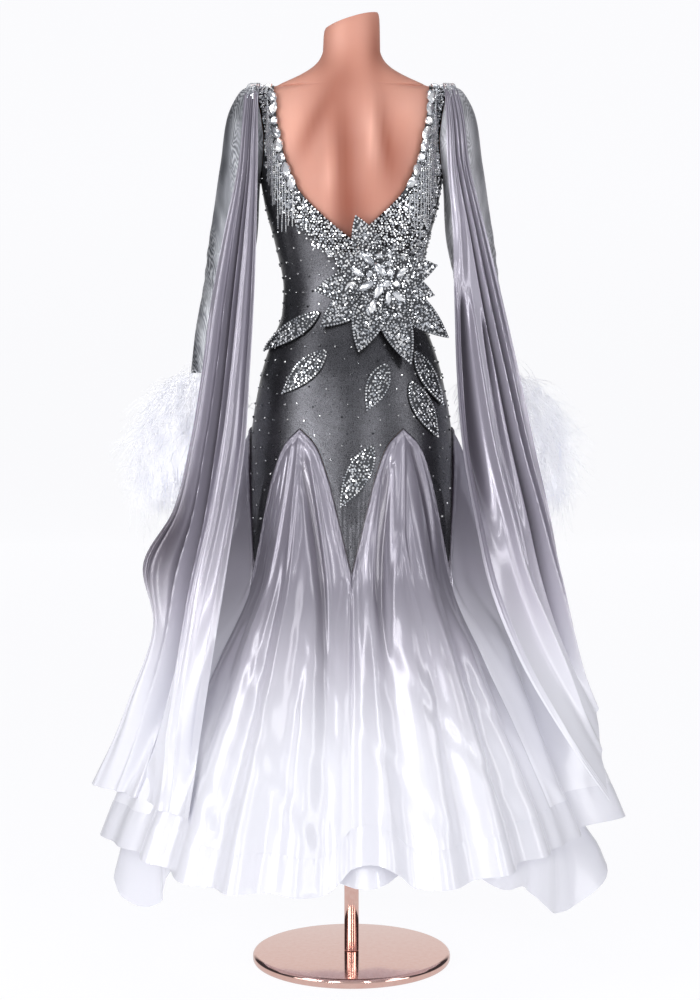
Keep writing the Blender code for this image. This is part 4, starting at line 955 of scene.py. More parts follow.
@dataclass(frozen=True)
class MetalMesh(Finish):
    """Fine stretch mesh with metallic yarn over a dark ground.

    The eye sees watered bands where two layers of mesh cross, with fine ribs along the arm.
    """

    dark: str = "3A3B40"
    middle: str = "8E9096"
    light: str = "DCDEE2"

    def dress(self, tree: Tree, shader: bpy.types.Node) -> None:
        """Builds the finish's nodes."""
        place = add_node(tree, "ShaderNodeUVMap", uv_map="cloth").outputs["UV"]
        spot = add_node(tree, "ShaderNodeSeparateXYZ", {0: place})
        # Watered bands 9 mm apart, in chevrons that slow noise bends and breaks up.
        slow = noise(tree, place, 16.0, 1.0)
        bend = times(tree, noise(tree, place, 26.0, 2.0), 0.060)
        zigzag = math_node(tree, "FRACT", times(tree, spot.outputs["X"], 18.0))
        chevron = math_node(tree, "ABSOLUTE", math_node(tree, "SUBTRACT", zigzag, 0.5))
        chevron = times(tree, chevron, 0.045)
        run = plus(tree, plus(tree, spot.outputs["Y"], bend), chevron)
        water = math_node(tree, "SINE", times(tree, run, TURN / 0.009))
        patch = risen(tree, noise(tree, place, 11.0, 1.0), 0.40, 0.62)
        water = times(tree, water, patch)
        # Metallic ribs along the arm 1.6 mm apart, drawn coarser than the real ones so that they show.
        rib = math_node(tree, "SINE", times(tree, spot.outputs["X"], TURN / 0.0016))
        share = plus(tree, times(tree, water, 0.24), times(tree, slow, 0.95))
        share = plus(tree, share, times(tree, rib, 0.07))
        colour = ramp(tree, share, (0.15, self.dark), (0.50, self.middle), (0.88, self.light))
        relief(tree, shader, rib, 0.0003, 0.25)
        fill(shader, Base_Color=colour, Metallic=0.60, Roughness=0.40)


@dataclass(frozen=True)
class Feather(Finish):
    """Bleached ostrich feather. The eye sees a soft white with faint cool shade between the barbs."""

    light: str = "FDFDFF"
    shade: str = "E6E7EE"

    def dress(self, tree: Tree, shader: bpy.types.Node) -> None:
        """Builds the finish's nodes."""
        place = object_place(tree)
        lock = noise(tree, place, 60.0, 2.0, (1.0, 1.0, 0.3))
        fill(shader, Base_Color=ramp(tree, lock, (0.35, self.shade), (0.62, self.light)), Roughness=0.75,
             Specular_IOR_Level=0.2)
        # Light that the barbs pass on to each other, which few bounces between them would lose.
        fill(shader, Emission_Color=linear("F4F4FA"), Emission_Strength=0.16)


@dataclass(frozen=True)
class Lacquer(Finish):
    """Sprayed polyester lacquer on a fibreglass form. The eye sees an even rosy tan with a soft gloss."""

    base: str = "E4AD9C"
    blush: str = "DDA28F"
    shade: str = "8C4B38"

    def dress(self, tree: Tree, shader: bpy.types.Node) -> None:
        """Builds the finish's nodes."""
        place = object_place(tree)
        colour = ramp(tree, noise(tree, place, 9.0, 2.0), (0.3, self.blush), (0.7, self.base))
        # Painted shade in the hollows of the back and painted highlights on its swellings, which the mesh
        # carries.
        painted_shade = painted_shade_share(tree)
        # Faint orange peel of the spray, 4 mm across.
        relief(tree, shader, noise(tree, place, 250.0, 1.0), 0.0002, 0.15)
        fill(shader, Base_Color=tinted(tree, painted_shade, colour, self.shade), Roughness=0.50,
             Specular_IOR_Level=0.35, Subsurface_Weight=0.05, Subsurface_Radius=(0.01, 0.004, 0.002))


@dataclass(frozen=True)
class RoseGold(Finish):
    """Polished steel plated with rose gold. The eye sees a pink mirror with very faint polishing haze."""

    base: str = "EBBFB3"

    def dress(self, tree: Tree, shader: bpy.types.Node) -> None:
        """Builds the finish's nodes."""
        place = object_place(tree)
        haze = noise(tree, place, 120.0, 3.0)
        fill(shader, Base_Color=ramp(tree, haze, (0.3, self.base), (0.7, "EFC9BE")), Metallic=1.0,
             Roughness=between(tree, haze, 0.05, 0.13))


@dataclass(frozen=True)
class CutCrystal(Finish):
    """Machine-cut glass with a foil back. The eye sees facets that flash white or go nearly black."""

    tint: str = "E4E6EA"
    deep: str = "A2A6AC"
    cells: float = 250.0

    def dress(self, tree: Tree, shader: bpy.types.Node) -> None:
        """Builds the finish's nodes."""
        place = object_place(tree)
        # Stones differ from each other: cells of a stone's size, 4 mm for the small ones.
        cell = add_node(tree, "ShaderNodeTexVoronoi", {"Vector": place},
                        {"Scale": self.cells}).outputs["Color"]
        share = add_node(tree, "ShaderNodeSeparateColor", {"Color": cell}).outputs["Red"]
        colour = ramp(tree, share, (0.1, self.deep), (0.5, self.tint), (0.95, "FFFFFF"))
        fill(shader, Base_Color=colour, Metallic=0.80, Roughness=0.08, Coat_Weight=0.6, Coat_Roughness=0.03)


@dataclass(frozen=True)
class DarkNet(Finish):
    """Stiffened black net under the stones. The eye sees a dull dark grey between them."""

    base: str = "242528"

    def dress(self, tree: Tree, shader: bpy.types.Node) -> None:
        """Builds the finish's nodes."""
        place = object_place(tree)
        web = add_node(tree, "ShaderNodeTexVoronoi", {"Vector": place}, {"Scale": 700.0},
                       feature="DISTANCE_TO_EDGE")
        colour = ramp(tree, web.outputs["Distance"], (0.0, "46484D"), (0.25, self.base))
        fill(shader, Base_Color=colour, Metallic=0.4, Roughness=0.5)


@dataclass(frozen=True)
class StudioPaper(Finish):
    """Seamless white paper. The eye sees an even white without an edge, and faint shade round the disc."""

    base: str = "565658"

    def dress(self, tree: Tree, shader: bpy.types.Node) -> None:
        """Builds the finish's nodes."""
        fill(shader, Base_Color=linear(self.base), Roughness=0.9, Specular_IOR_Level=0.1,
             Emission_Color=linear("FDFDFF"), Emission_Strength=0.935)


SEAMED_SATIN = DyedSatin("dyed_satin_seamed", puckers=True)
# Painted light: the two side godets, which hang in the floats' shade, take a paler copy of the satin that
# turns white higher up.
SIDE_SATIN_PAINTED_LIGHTER = DyedSatin("dyed_satin_side_painted_lighter", lower="E0E0E7", fade_top=0.800, fade_foot=0.460, puckers=True)
FLOAT_SATIN = DyedSatin("dyed_satin_float", upper="9A96A2", middle="C0BDC8", fade_top=0.780, fade_foot=0.420)
WHITE_SATIN = DyedSatin("white_satin_faced", upper="DDDDE4", middle="DDDDE4")
FOIL = FoilJersey("foil_jersey")
MESH_CLOTH = MetalMesh("metallic_stretch_mesh")
# Painted light: the right sleeve takes a paler copy of the same mesh, to stand in for the lighter look that
# light gives it there.
MESH_PAINTED_LIGHTER = MetalMesh("metallic_stretch_mesh_painted_lighter", dark="818186", middle="BCBCC2", light="E8E8EC")
FEATHER = Feather("ostrich_feather")
SKIN = Lacquer("sprayed_lacquer")
ROSE_GOLD = RoseGold("rose_gold_plated_steel")
CRYSTAL = CutCrystal("foil_backed_crystal")
JEWEL_CRYSTAL = CutCrystal("foil_backed_jewel", tint="E9EBEF", deep="C4C7CC", cells=40.0)
CLEAR_CRYSTAL = CutCrystal("foil_backed_crystal_clear", tint="F2F4F7", deep="D4D8DE")
STUD_CRYSTAL = CutCrystal("hematite_crystal", tint="63656B", deep="2C2D32")
NET = DarkNet("stiffened_net")
PAPER = StudioPaper("studio_paper")


# ---- stand and form --------------------------------------------------------------------------------------
@dataclass
class Stand:
    """The plated disc and pole."""

    base_radius: float = BASE_RADIUS
    base_height: float = BASE_HEIGHT
    pole_radius: float = POLE_RADIUS
    shading: float = 35.0

    def cylinder(self, name: str, node: str, radius: float, low: float, high: float, sides: int,
                 rim: float, steps: int) -> None:
        """Builds one upright cylinder between two heights, with rounded rims.

        Args:
            name: Name of the piece.
            node: The solid that it stands for.
            radius: Its radius.
            low: Height of its bottom.
            high: Height of its top.
            sides: Number of its sides.
            rim: Radius of its rims.
            steps: Number of steps in a rim.
        """
        bpy.ops.object.select_all(action="DESELECT")
        bpy.ops.mesh.primitive_cylinder_add(vertices=sides, radius=radius, depth=high - low,
                                            location=(0, 0, (low + high) / 2))
        piece = bpy.context.object
        piece.name = piece.data.name = name
        bevel = piece.modifiers.new("rim", "BEVEL")
        bevel.width, bevel.segments, bevel.limit_method = rim, steps, "ANGLE"
        bpy.ops.object.modifier_apply(modifier=bevel.name)
        bpy.ops.object.transform_apply(location=True, rotation=True, scale=True)
        bpy.ops.object.shade_smooth_by_angle(angle=math.radians(self.shading))
        piece.data.materials.clear()
        piece.data.materials.append(ROSE_GOLD.material())
        settle(piece, (node,))

    def build(self) -> None:
        """Builds the disc and the pole."""
        self.cylinder("base_plate", "base_disc", self.base_radius, 0.0, self.base_height, 128, 0.0062, 5)
        self.cylinder("upright_pole", "pole", self.pole_radius, self.base_height + SEAM_GAP,
                      FORM_FOOT + SOCKET_DEPTH - SEAM_GAP, 64, 0.0012, 3)


class Swelling(NamedTuple):
    """A swelling (height above 0) or hollow of the form's back, the same on both sides.

    Distance from the spine and height of its middle, half width and half length in metres, height in
    millimetres, and how far it leans out for each metre up.
    """

    x: float
    z: float
    wide: float
    high: float
    height: float
    slant: float = 0.0


BACK_RELIEF = rows_of(
    Swelling, (0.0, 1.27, 0.017, 0.15, -9.0), (0.034, 1.335, 0.015, 0.07, 3.2, 0.05),
    (0.062, 1.35, 0.018, 0.066, -5.0, 0.12), (0.092, 1.365, 0.022, 0.045, 2.6),
)
# Painted shade (above 0) and painted highlights on the back, each with its own side, over a base share of
# painted shade.
BACK_TONE = 0.36
BACK_PAINTED_SHADING = rows_of(
    Swelling, (-0.012, 1.33, 0.025, 0.11, 0.5, -0.05), (0.0, 1.22, 0.036, 0.06, 0.4),
    (0.032, 1.35, 0.009, 0.05, -0.4, -0.05), (0.054, 1.35, 0.011, 0.06, 0.34, -0.1),
    (-0.036, 1.29, 0.01, 0.05, -0.34, 0.05), (-0.062, 1.37, 0.018, 0.065, 0.44, 0.45),
    (-0.1, 1.375, 0.024, 0.06, -0.36), (0.096, 1.385, 0.024, 0.05, -0.26),
    (0.072, 1.315, 0.026, 0.065, 0.36), (0.0, 1.45, 0.04, 0.03, 0.14), (0.04, 1.5, 0.013, 0.05, 0.34),
    (-0.022, 1.52, 0.013, 0.045, -0.22), (-0.048, 1.5, 0.012, 0.05, 0.2),
)


@dataclass
class DressForm:
    """The limbless form: a torso with a cut neck and a socket for the pole."""

    sides: int = 96
    foot: float = FORM_FOOT
    levels: int = 120

    def relief(self, x: Array, z: Array) -> Array:
        """Returns the extra depth of the back: the spine's hollow, its muscles and the shoulder blades."""
        return sum(row.height * MILLI * self.spread(row, x, z) for row in BACK_RELIEF)

    def spread(self, row: Swelling, x: Array, z: Array) -> Array:
        """Returns the share of a swelling or hollow at points of the back."""
        across = (np.abs(x + 0.004) - row.x - row.slant * (z - row.z)) / row.wide
        reach = 1.5 * row.high
        ends = soft_step((z - row.z + reach) / row.high) * soft_step((row.z + reach - z) / row.high)
        return np.exp(-(across**2)) * ends

    def painted_shading(self, points: Array) -> Array:
        """Returns the share of painted shade at points of the form."""
        x, _, z = points.T
        total = np.full(len(x), BACK_TONE)
        for row in BACK_PAINTED_SHADING:
            across = (x - row.x - row.slant * (z - row.z)) / row.wide
            total += row.height * np.exp(-(across**2) - ((z - row.z) / row.high) ** 2)
        return np.clip(total, 0, 1)

    def ring(self, z: float) -> Array:
        """Returns one level ring of the form."""
        phi = TURN * np.arange(self.sides) / self.sides
        body = figure_point(phi, z, -(CLOTH + FORM_CLEARANCE))
        if z < FORM_SHOULDER[0].z:
            body[:, 1] -= np.where(np.cos(phi) > 0, self.relief(body[:, 0], np.full(self.sides, z)), 0)
            return self.filled(body, z)
        half, depth, thinning = (float(along_table(FORM_SHOULDER, c, z))
                                 for c in ("half_width", "depth", "thinning"))
        thin = np.abs(np.cos(phi)) ** (thinning - 1.0)
        lean = 0.10 * max(z - SHOULDER_Z, 0.0)
        spine = 0.006 * hump(half * np.sin(phi), 0.014) * (np.cos(phi) > 0) * soft_step((1.50 - z) / 0.06)
        return self.filled(at_angle(half * np.sin(phi), lean - depth * thin * np.cos(phi) + spine, z), z)

    def filled(self, ring: Array, z: float) -> Array:
        """Brings the middle of the upper back out to a smooth slope from the neck to the shoulder blades."""
        wanted = float(along_table(UPPER_BACK, "value", z))
        short = max(wanted + float(ring[:, 1].min()), 0.0) if z > UPPER_BACK[0].at else 0.0
        ring[:, 1] -= short * hump(ring[:, 0], 0.072) * (ring[:, 1] < 0)
        return ring

    def smoothed(self, rings: Array, levels: Array) -> list[Array]:
        """Rounds the slope from the back up to the neck, away from the cloth at the shoulders.

        Args:
            rings: Points of the form, ring by ring.
            levels: The rings' heights.

        Returns:
            The rings.
        """
        near = hump(levels[:, None] - levels[None], 0.017)
        near *= np.gradient(levels)[None]
        near /= near.sum(axis=1, keepdims=True)
        evened = np.einsum("kl,ljc->kjc", near, rings[..., :2])
        share = np.exp(-((np.abs(rings[..., 0]) / 0.116) ** 4)) * soft_step((levels[:, None] - 1.30) / 0.08)
        rings[..., :2] = mix(rings[..., :2], evened, share[..., None])
        return list(rings)

    def build(self) -> None:
        """Builds the form."""
        levels = np.concatenate([np.linspace(self.foot + 0.008, 1.42, self.levels),
                                 np.linspace(1.424, 1.4385, 8), np.linspace(1.4395, 1.447, 10),
                                 np.linspace(1.449, FORM_SHOULDER[-1].z, 18)])
        rings = self.smoothed(np.array([self.ring(float(z)) for z in levels]), levels)
        first = rings[0].copy()
        for drop, grow in ((0.002, 0.985), (0.006, 0.965), (0.008, 0.93)):
            rings.insert(0, first * [grow, grow, 1] - [0, 0, drop])
        top = rings[-1]
        slant, middle = (NECK_HIGH - NECK_LOW) / 0.085, (NECK_HIGH + NECK_LOW) / 2
        for drop, grow in ((0.024, 0.985), (0.012, 0.975), (0.005, 0.955), (0.001, 0.92), (0.0, 0.86)):
            z = middle - drop + slant * top[:, 0] * grow
            rings.append(at_angle(top[:, 0] * grow, top[:, 1] * grow, z))
        phi = TURN * np.arange(self.sides) / self.sides
        socket = POLE_RADIUS + SEAM_GAP
        for z in (self.foot, self.foot + SOCKET_DEPTH):
            rings.insert(0, at_angle(socket * np.sin(phi), -socket * np.cos(phi), z))
        points = np.concatenate(rings)
        quads = grid_quads(len(rings), self.sides, True).reshape(-1, 4)
        caps = [list(range(self.sides))[::-1], list(range(len(points) - self.sides, len(points)))]
        form = new_mesh("form_torso", points, quads.tolist() + caps, SKIN, hollow=self.painted_shading(points))
        form.data.set_sharp_from_angle(angle=math.radians(42))
        settle(form, ("dress_form",))


# ---- sheath ----------------------------------------------------------------------------------------------
# Flutes of the sheath's points, which stand away from the body below the hips.
SHEATH_CREASES = rows_of(
    Crease, (-3.0, 0.78, -1.2, 0.665, 5, 3, 2.6, 0.0, 0.3, 0.2),
    (-10.0, 0.8, -6.0, 0.7, 4, 3, 1.8, 0.0, 0.3), (2.6, 0.74, 1.0, 0.66, 3, 3, -1.6, 0.0, 0.3, 0.2),
    (6.0, 0.79, 4.0, 0.7, 4, 3, 1.8, 0.0, 0.3), (-57.0, 0.79, -59.5, 0.67, 5, 3, 2.4, 0.0, 0.3, 0.2),
    (57.0, 0.79, 59.5, 0.67, 5, 3, 2.4, 0.0, 0.3, 0.2), (119.0, 0.78, 120.0, 0.67, 5, 3, 2.4, 0.0, 0.3, 0.2),
    (180.0, 0.78, 180.0, 0.67, 5, 3, 2.4, 0.0, 0.3, 0.2),
    (-119.0, 0.78, -120.0, 0.67, 5, 3, 2.4, 0.0, 0.3, 0.2),
)


@dataclass
class Sheath:
    """The foil jersey body: two back panels that meet at the middle of the back, and a one-piece front."""

    columns: int = 50
    flare_rows: int = 34
    body_rows: int = 34
    shade: Finish = FOIL

    def half(self, neck: tuple, facing: int, last_turn: float, first_turn: float) -> Array:
        """A grid of half the sheath, from its zigzag edge up to the shoulder.

        Args:
            neck: Neckline table.
            facing: -1 for the back and 1 for the front.
            last_turn: Angle of the side seam from the panel's middle.
            first_turn: Angle of its first column.

        Returns:
            The grid, rows upwards and columns from the middle to the side.
        """
        turns = np.linspace(first_turn, last_turn, self.columns + 1)
        waist = 0.990
        low = neck[0].at
        upper = np.concatenate([np.linspace(waist, low, self.body_rows, endpoint=False),
                                low + (SHOULDER_ROLL_Z - low)
                                * np.linspace(0, 1, 52, endpoint=False) ** 1.35,
                                np.linspace(SHOULDER_ROLL_Z, SHOULDER_Z, 12)])
        rows = []
        for k in range(self.flare_rows):
            rows.append(self.on_body(turns, mix(seam_height(turns), waist, k / self.flare_rows), facing))
        for z in upper:
            start = float(edge_angle(neck, z)) if z > low else first_turn
            start = max(start, first_turn)
            end = min(float(edge_angle(ARMHOLE, z)), last_turn) if z > UNDERARM_Z else last_turn
            keep = float(shoulder_roll(z))
            row = self.on_body(mix(start, end, (turns - first_turn) / (last_turn - first_turn)), z, facing,
                               keep)
            if keep < 1:
                row[:, 1] = facing * np.maximum(facing * row[:, 1], SEAM_GAP / 2)
            rows.append(row)
        return np.array(rows)

    def on_body(self, turns: Array, z: Array, facing: int, keep: float = 1.0) -> Array:
        """Returns points of the panel, with its creases."""
        phi = turns if facing < 0 else math.pi - turns
        z = np.broadcast_to(np.asarray(z, float), turns.shape)
        tug = 0.0007 * np.sin(TURN * (z * 9 + turns * 0.9)) * hump(z - 1.045, 0.05) * soft_step(turns / 0.9)
        lift = crease_height(phi, z, SHEATH_CREASES) if keep == 1.0 else 0.0
        return figure_point(phi, z, lift + tug, keep)

    def build(self) -> None:
        """Builds the three panels."""
        trim = SEAM_GAP / 2 / 0.12
        back = self.half(BACK_NECK, -1, math.pi / 2, 0.0)
        for side, name in ((1, "right"), (-1, "left")):
            grid = back * [side, 1, 1]
            phi, z = back_angle(grid[..., 0].ravel(), grid[..., 2].ravel()), grid[..., 2].ravel()
            # Share of painted shade in the gaps between the closely set stones, which the foil takes.
            crust_shade = BodiceStones().cover(phi, z, side).reshape(grid.shape[:2])
            Cloth(f"jersey_back_{name}", grid, grid * [1, 1, 0], self.shade, "charcoal_foil_jersey",
                  (f"sheath_back_{name}",), Held.STRETCHED, ("form_torso",), hollow=crust_shade).build()
        front = self.half(FRONT_NECK, 1, math.pi / 2 - trim, 0.003)
        grid = np.concatenate([(front * [-1, 1, 1])[:, ::-1], front], axis=1)
        cells = np.ones((grid.shape[0] - 1, grid.shape[1] - 1), bool)
        cells[self.flare_rows + self.body_rows:, self.columns] = False
        Cloth("jersey_front", grid, grid * [1, 1, 0], self.shade, "charcoal_foil_jersey", ("sheath_front",),
              Held.STRETCHED, ("form_torso",), cells=cells).build()


# ---- skirt -----------------------------------------------------------------------------------------------
@dataclass
class Godet:
    """A flared satin panel set into the sheath's zigzag edge."""

    number: int
    columns: int
    rows: int

    def creases(self) -> tuple:
        """Returns the creases near this godet."""
        start = (self.number - 1) * 360 / GODETS
        if self.number in (1, GODETS):
            return BACK_CREASES
        rng = np.random.default_rng(40 + self.number)
        made = []
        for crease in SIDE_CREASES:
            shift = rng.uniform(-1.2, 1.2)
            made.append(crease._replace(start=start + crease.start + 0.4 * shift,
                                        end=start + crease.end + 2 * shift,
                                        height=crease.height * rng.uniform(0.75, 1.2)))
        return tuple(made)

    def below_seam(self, phi: Array, z: Array) -> tuple[Array, Array]:
        """Returns the distance from the arched seam, square to it, and the seam's slope."""
        step = 1e-3
        slope = (seam_height(phi + step) - seam_height(phi - step)) / (2 * step) / 0.18
        return (seam_height(phi) - z) / np.hypot(1, slope), slope

    def gathers(self, phi: Array, z: Array) -> Array:
        """Returns the height of the small puckers along the arched seam and of its rolled edge."""
        away, slope = self.below_seam(phi, z)
        along = z / np.maximum(np.abs(slope) / np.hypot(1, slope), 0.35)
        roll = 0.0019 * hump(away - 0.0048, 0.0034) - 0.0008 * hump(away - 0.011, 0.004)
        pucker = 0.0007 * np.sin(TURN * (along / 0.0085 + away / 0.009)) * hump(away - 0.006, 0.006)
        return (roll + pucker) * soft_step(away / 0.002)

    def build(self) -> None:
        """Builds the panel."""
        turns = np.linspace(0, 1, self.columns + 1)
        cell = TURN / GODETS
        phi = cell * (self.number - 1 + turns)
        top = seam_height(phi) - 0.0005
        low = hem_height(phi) + BAND_HEIGHT + 2 * SEAM_GAP
        share = np.linspace(0, 1, self.rows + 1)[:, None] ** 1.35
        z = mix(top, low, share)
        angles = np.broadcast_to(phi, z.shape).copy()
        beside = np.minimum(turns, 1 - turns) * cell * 0.24
        seam = -0.0011 * hump(beside, 0.0018) + 0.0007 * hump(beside - 0.0045, 0.0025)
        crumple = ripple(angles * 3.4 + z * 6, 21 + self.number)
        crumple = crumple * ripple(z / 0.17 + angles * 1.7, 31 + self.number)
        crumple = 0.0030 * crumple * soft_step((0.68 - z) / 0.25) * soft_step(beside / 0.024)
        crease = crease_height(angles, z, self.creases()) * soft_step(beside / 0.005) + crumple
        crease = crease * soft_step((z - low) / 0.05 + 0.4)
        # Painted shade in the bottoms of deep creases, and a painted shadow line just under the arched seam.
        hollow = 0.55 * soft_step((-crease - 0.001) / 0.010)
        hollow = np.maximum(hollow, soft_step((0.0030 - self.below_seam(angles, z)[0]) / 0.0012))
        floor = -0.8 * skirt_stand(angles, z) - 0.0008
        crease = (crease + floor + np.sqrt((crease - floor) ** 2 + 0.002**2)) / 2
        grid = skirt_point(angles, z, crease + self.gathers(angles, z) + seam)
        panels = ("jersey_back_right", "jersey_front", "jersey_back_left")
        sheath = (panels[(self.number - 1) // 2],)
        # The side godets take the paler copy of the satin, painted light for the shade that they hang in.
        satin = SIDE_SATIN_PAINTED_LIGHTER if self.number in (2, 5) else SEAMED_SATIN
        Cloth(f"satin_godet_{self.number}", grid, grid * [1, 1, 0], satin, "ombre_satin",
              (f"godet_{self.number}",), Held.HUNG, sheath, hollow=hollow).build()


@dataclass
class HemBand:
    """The stiff band at the hem, in a back and a front half."""

    columns: int = 300
    rows: int = 10

    def build(self) -> None:
        """Builds both halves."""
        for name, first in (("back", 270), ("front", 90)):
            phi = np.radians(np.linspace(first + 0.08, first + 179.92, self.columns + 1))
            share = np.linspace(0, 1, self.rows + 1)[:, None]
            z = hem_height(phi) + BAND_HEIGHT * (1 - share) + 0.005 * (1 - soft_step(share / 0.12))
            tuck = -0.0014 * (1 - soft_step(share / 0.10)) + 0.0007 * hump(share - 0.97, 0.04)
            cockle = 0.0007 * ripple(np.degrees(phi) / 2.3, 5) * hump(share - 0.10, 0.12)
            angles = np.broadcast_to(phi, z.shape)
            grid = skirt_point(angles, z, tuck + cockle)
            godet = ("satin_godet_1", "satin_godet_6")
            # The right sleeve takes the paler copy of the mesh, painted light.
            if name == "front":
                godet = ("satin_godet_3", "satin_godet_4")
            Cloth(f"hem_{name}", grid, grid * [1, 1, 0], WHITE_SATIN, "white_satin", (f"hem_band_{name}",),
                  Held.HUNG, godet, thickness=0.0012).build()


@dataclass
class Underskirt:
    """The second skirt layer, which shows below the hem at the back's two sides."""

    columns: int = 132
    rows: int = 26

    def extra(self, phi: Array, column: str) -> Array:
        """Returns how much further the layer hangs or swings out at an angle."""
        degrees = np.degrees(phi) % 360
        return sum(getattr(row, column) * hump(degrees - row.degrees, row.spread) for row in UNDERSKIRT_DROPS)

    def build(self) -> None:
        """Builds both halves."""
        for name, first in (("back", 270), ("front", 90)):
            phi = np.radians(np.linspace(first + 0.08, first + 179.92, self.columns + 1))
            share = np.linspace(0, 1, self.rows + 1)[:, None]
            z = mix(UNDERSKIRT_TOP, UNDERSKIRT_HEM - self.extra(phi, "drop"), share)
            wave = 0.006 * np.sin(18 * phi) * share + self.extra(phi, "swing") * share**2
            fine = 0.0030 * ripple(np.degrees(phi) / 11.0, 9) * share**2
            angles = np.broadcast_to(phi, z.shape)
            grid = figure_point(angles, z, wave + fine - mix(CLOTH + 0.0008, UNDERSKIRT_INSET, share))
            Cloth(f"lining_skirt_{name}", grid, grid * [1, 1, 0], WHITE_SATIN, "white_satin",
                  (f"underskirt_{name}",), Held.HUNG, ("satin_godet_1",)).build()


# ---- sleeves, cuffs and floats ---------------------------------------------------------------------------
def through(rows: Array, steps: int) -> Array:
    """Carries a smooth curve through rows of points.

    Args:
        rows: The rows, one after another.
        steps: How many rows to return.

    Returns:
        Rows at even shares of the way along.
    """
    count = len(rows)
    gaps = np.linalg.norm(np.diff(rows, axis=0), axis=-1).mean(axis=-1)
    key = np.concatenate([[0], np.cumsum(gaps)])
    tangent = np.gradient(rows, key, axis=0)
    at = np.linspace(0, key[-1], steps)
    i = np.clip(np.searchsorted(key, at, side="right") - 1, 0, count - 2)
    step = (key[i + 1] - key[i])[:, None, None]
    t = ((at - key[i])[:, None, None]) / step
    return (rows[i] * (1 - 3 * t**2 + 2 * t**3) + rows[i + 1] * (3 * t**2 - 2 * t**3)
            + tangent[i] * step * (t - 2 * t**2 + t**3) + tangent[i + 1] * step * (t**3 - t**2))


@dataclass
class Sleeve:
    """A long narrow mesh sleeve, open at the cuff."""

    side: int
    finish: Finish
    around: int = 56
    rows: int = 110

    def build(self) -> None:
        """Builds the sleeve."""
        psi = TURN * np.arange(self.around) / self.around
        middle, half = (UNDERARM_Z + SHOULDER_Z) / 2, (SHOULDER_Z - UNDERARM_Z) / 2
        z = middle - half * np.cos(psi)
        turn = edge_angle(ARMHOLE, z)
        head = figure_point(np.where(psi <= math.pi, turn, math.pi - turn), z, 0.0,
                            shoulder_roll(z)) + [0.0009, 0, 0]
        rings = [head]
        share = 0.5 + 0.5 * np.cos(psi)
        for ring in SLEEVE_RINGS:
            rings.append(at_angle(mix(ring.outer_x, ring.inner_x, share),
                                  ring.y - ring.half_depth * np.sin(psi),
                                  mix(ring.outer_z, ring.inner_z, share)))
        grid = through(np.array(rings), self.rows)
        centre = grid.mean(axis=1, keepdims=True)
        outward = grid - centre
        outward /= np.linalg.norm(outward, axis=2, keepdims=True)
        along = np.linspace(0, 1, self.rows)[:, None]
        drag = 0.0011 * np.sin(TURN * (along * 3.3 + 0.30 * np.sin(psi - 0.8))) * np.cos(psi * 2 + 5 * along)
        ends = soft_step(along / 0.12) * soft_step((1 - along) / 0.06)
        elbow = 0.0008 * np.sin(TURN * (along * 17 - 0.5 * np.cos(psi))) * hump(along - 0.55, 0.10)
        grid = grid + outward * (drag * ends + elbow)[..., None]
        name = side_name(self.side)
        mirror = [self.side, 1, 1]
        Cloth(f"mesh_sleeve_{name}", grid * mirror, outward * mirror, self.finish, "silver_mesh",
              (f"sleeve_{name}",), Held.STRETCHED, (f"jersey_back_{name}",), thickness=0.0006,
              closed=True).build()


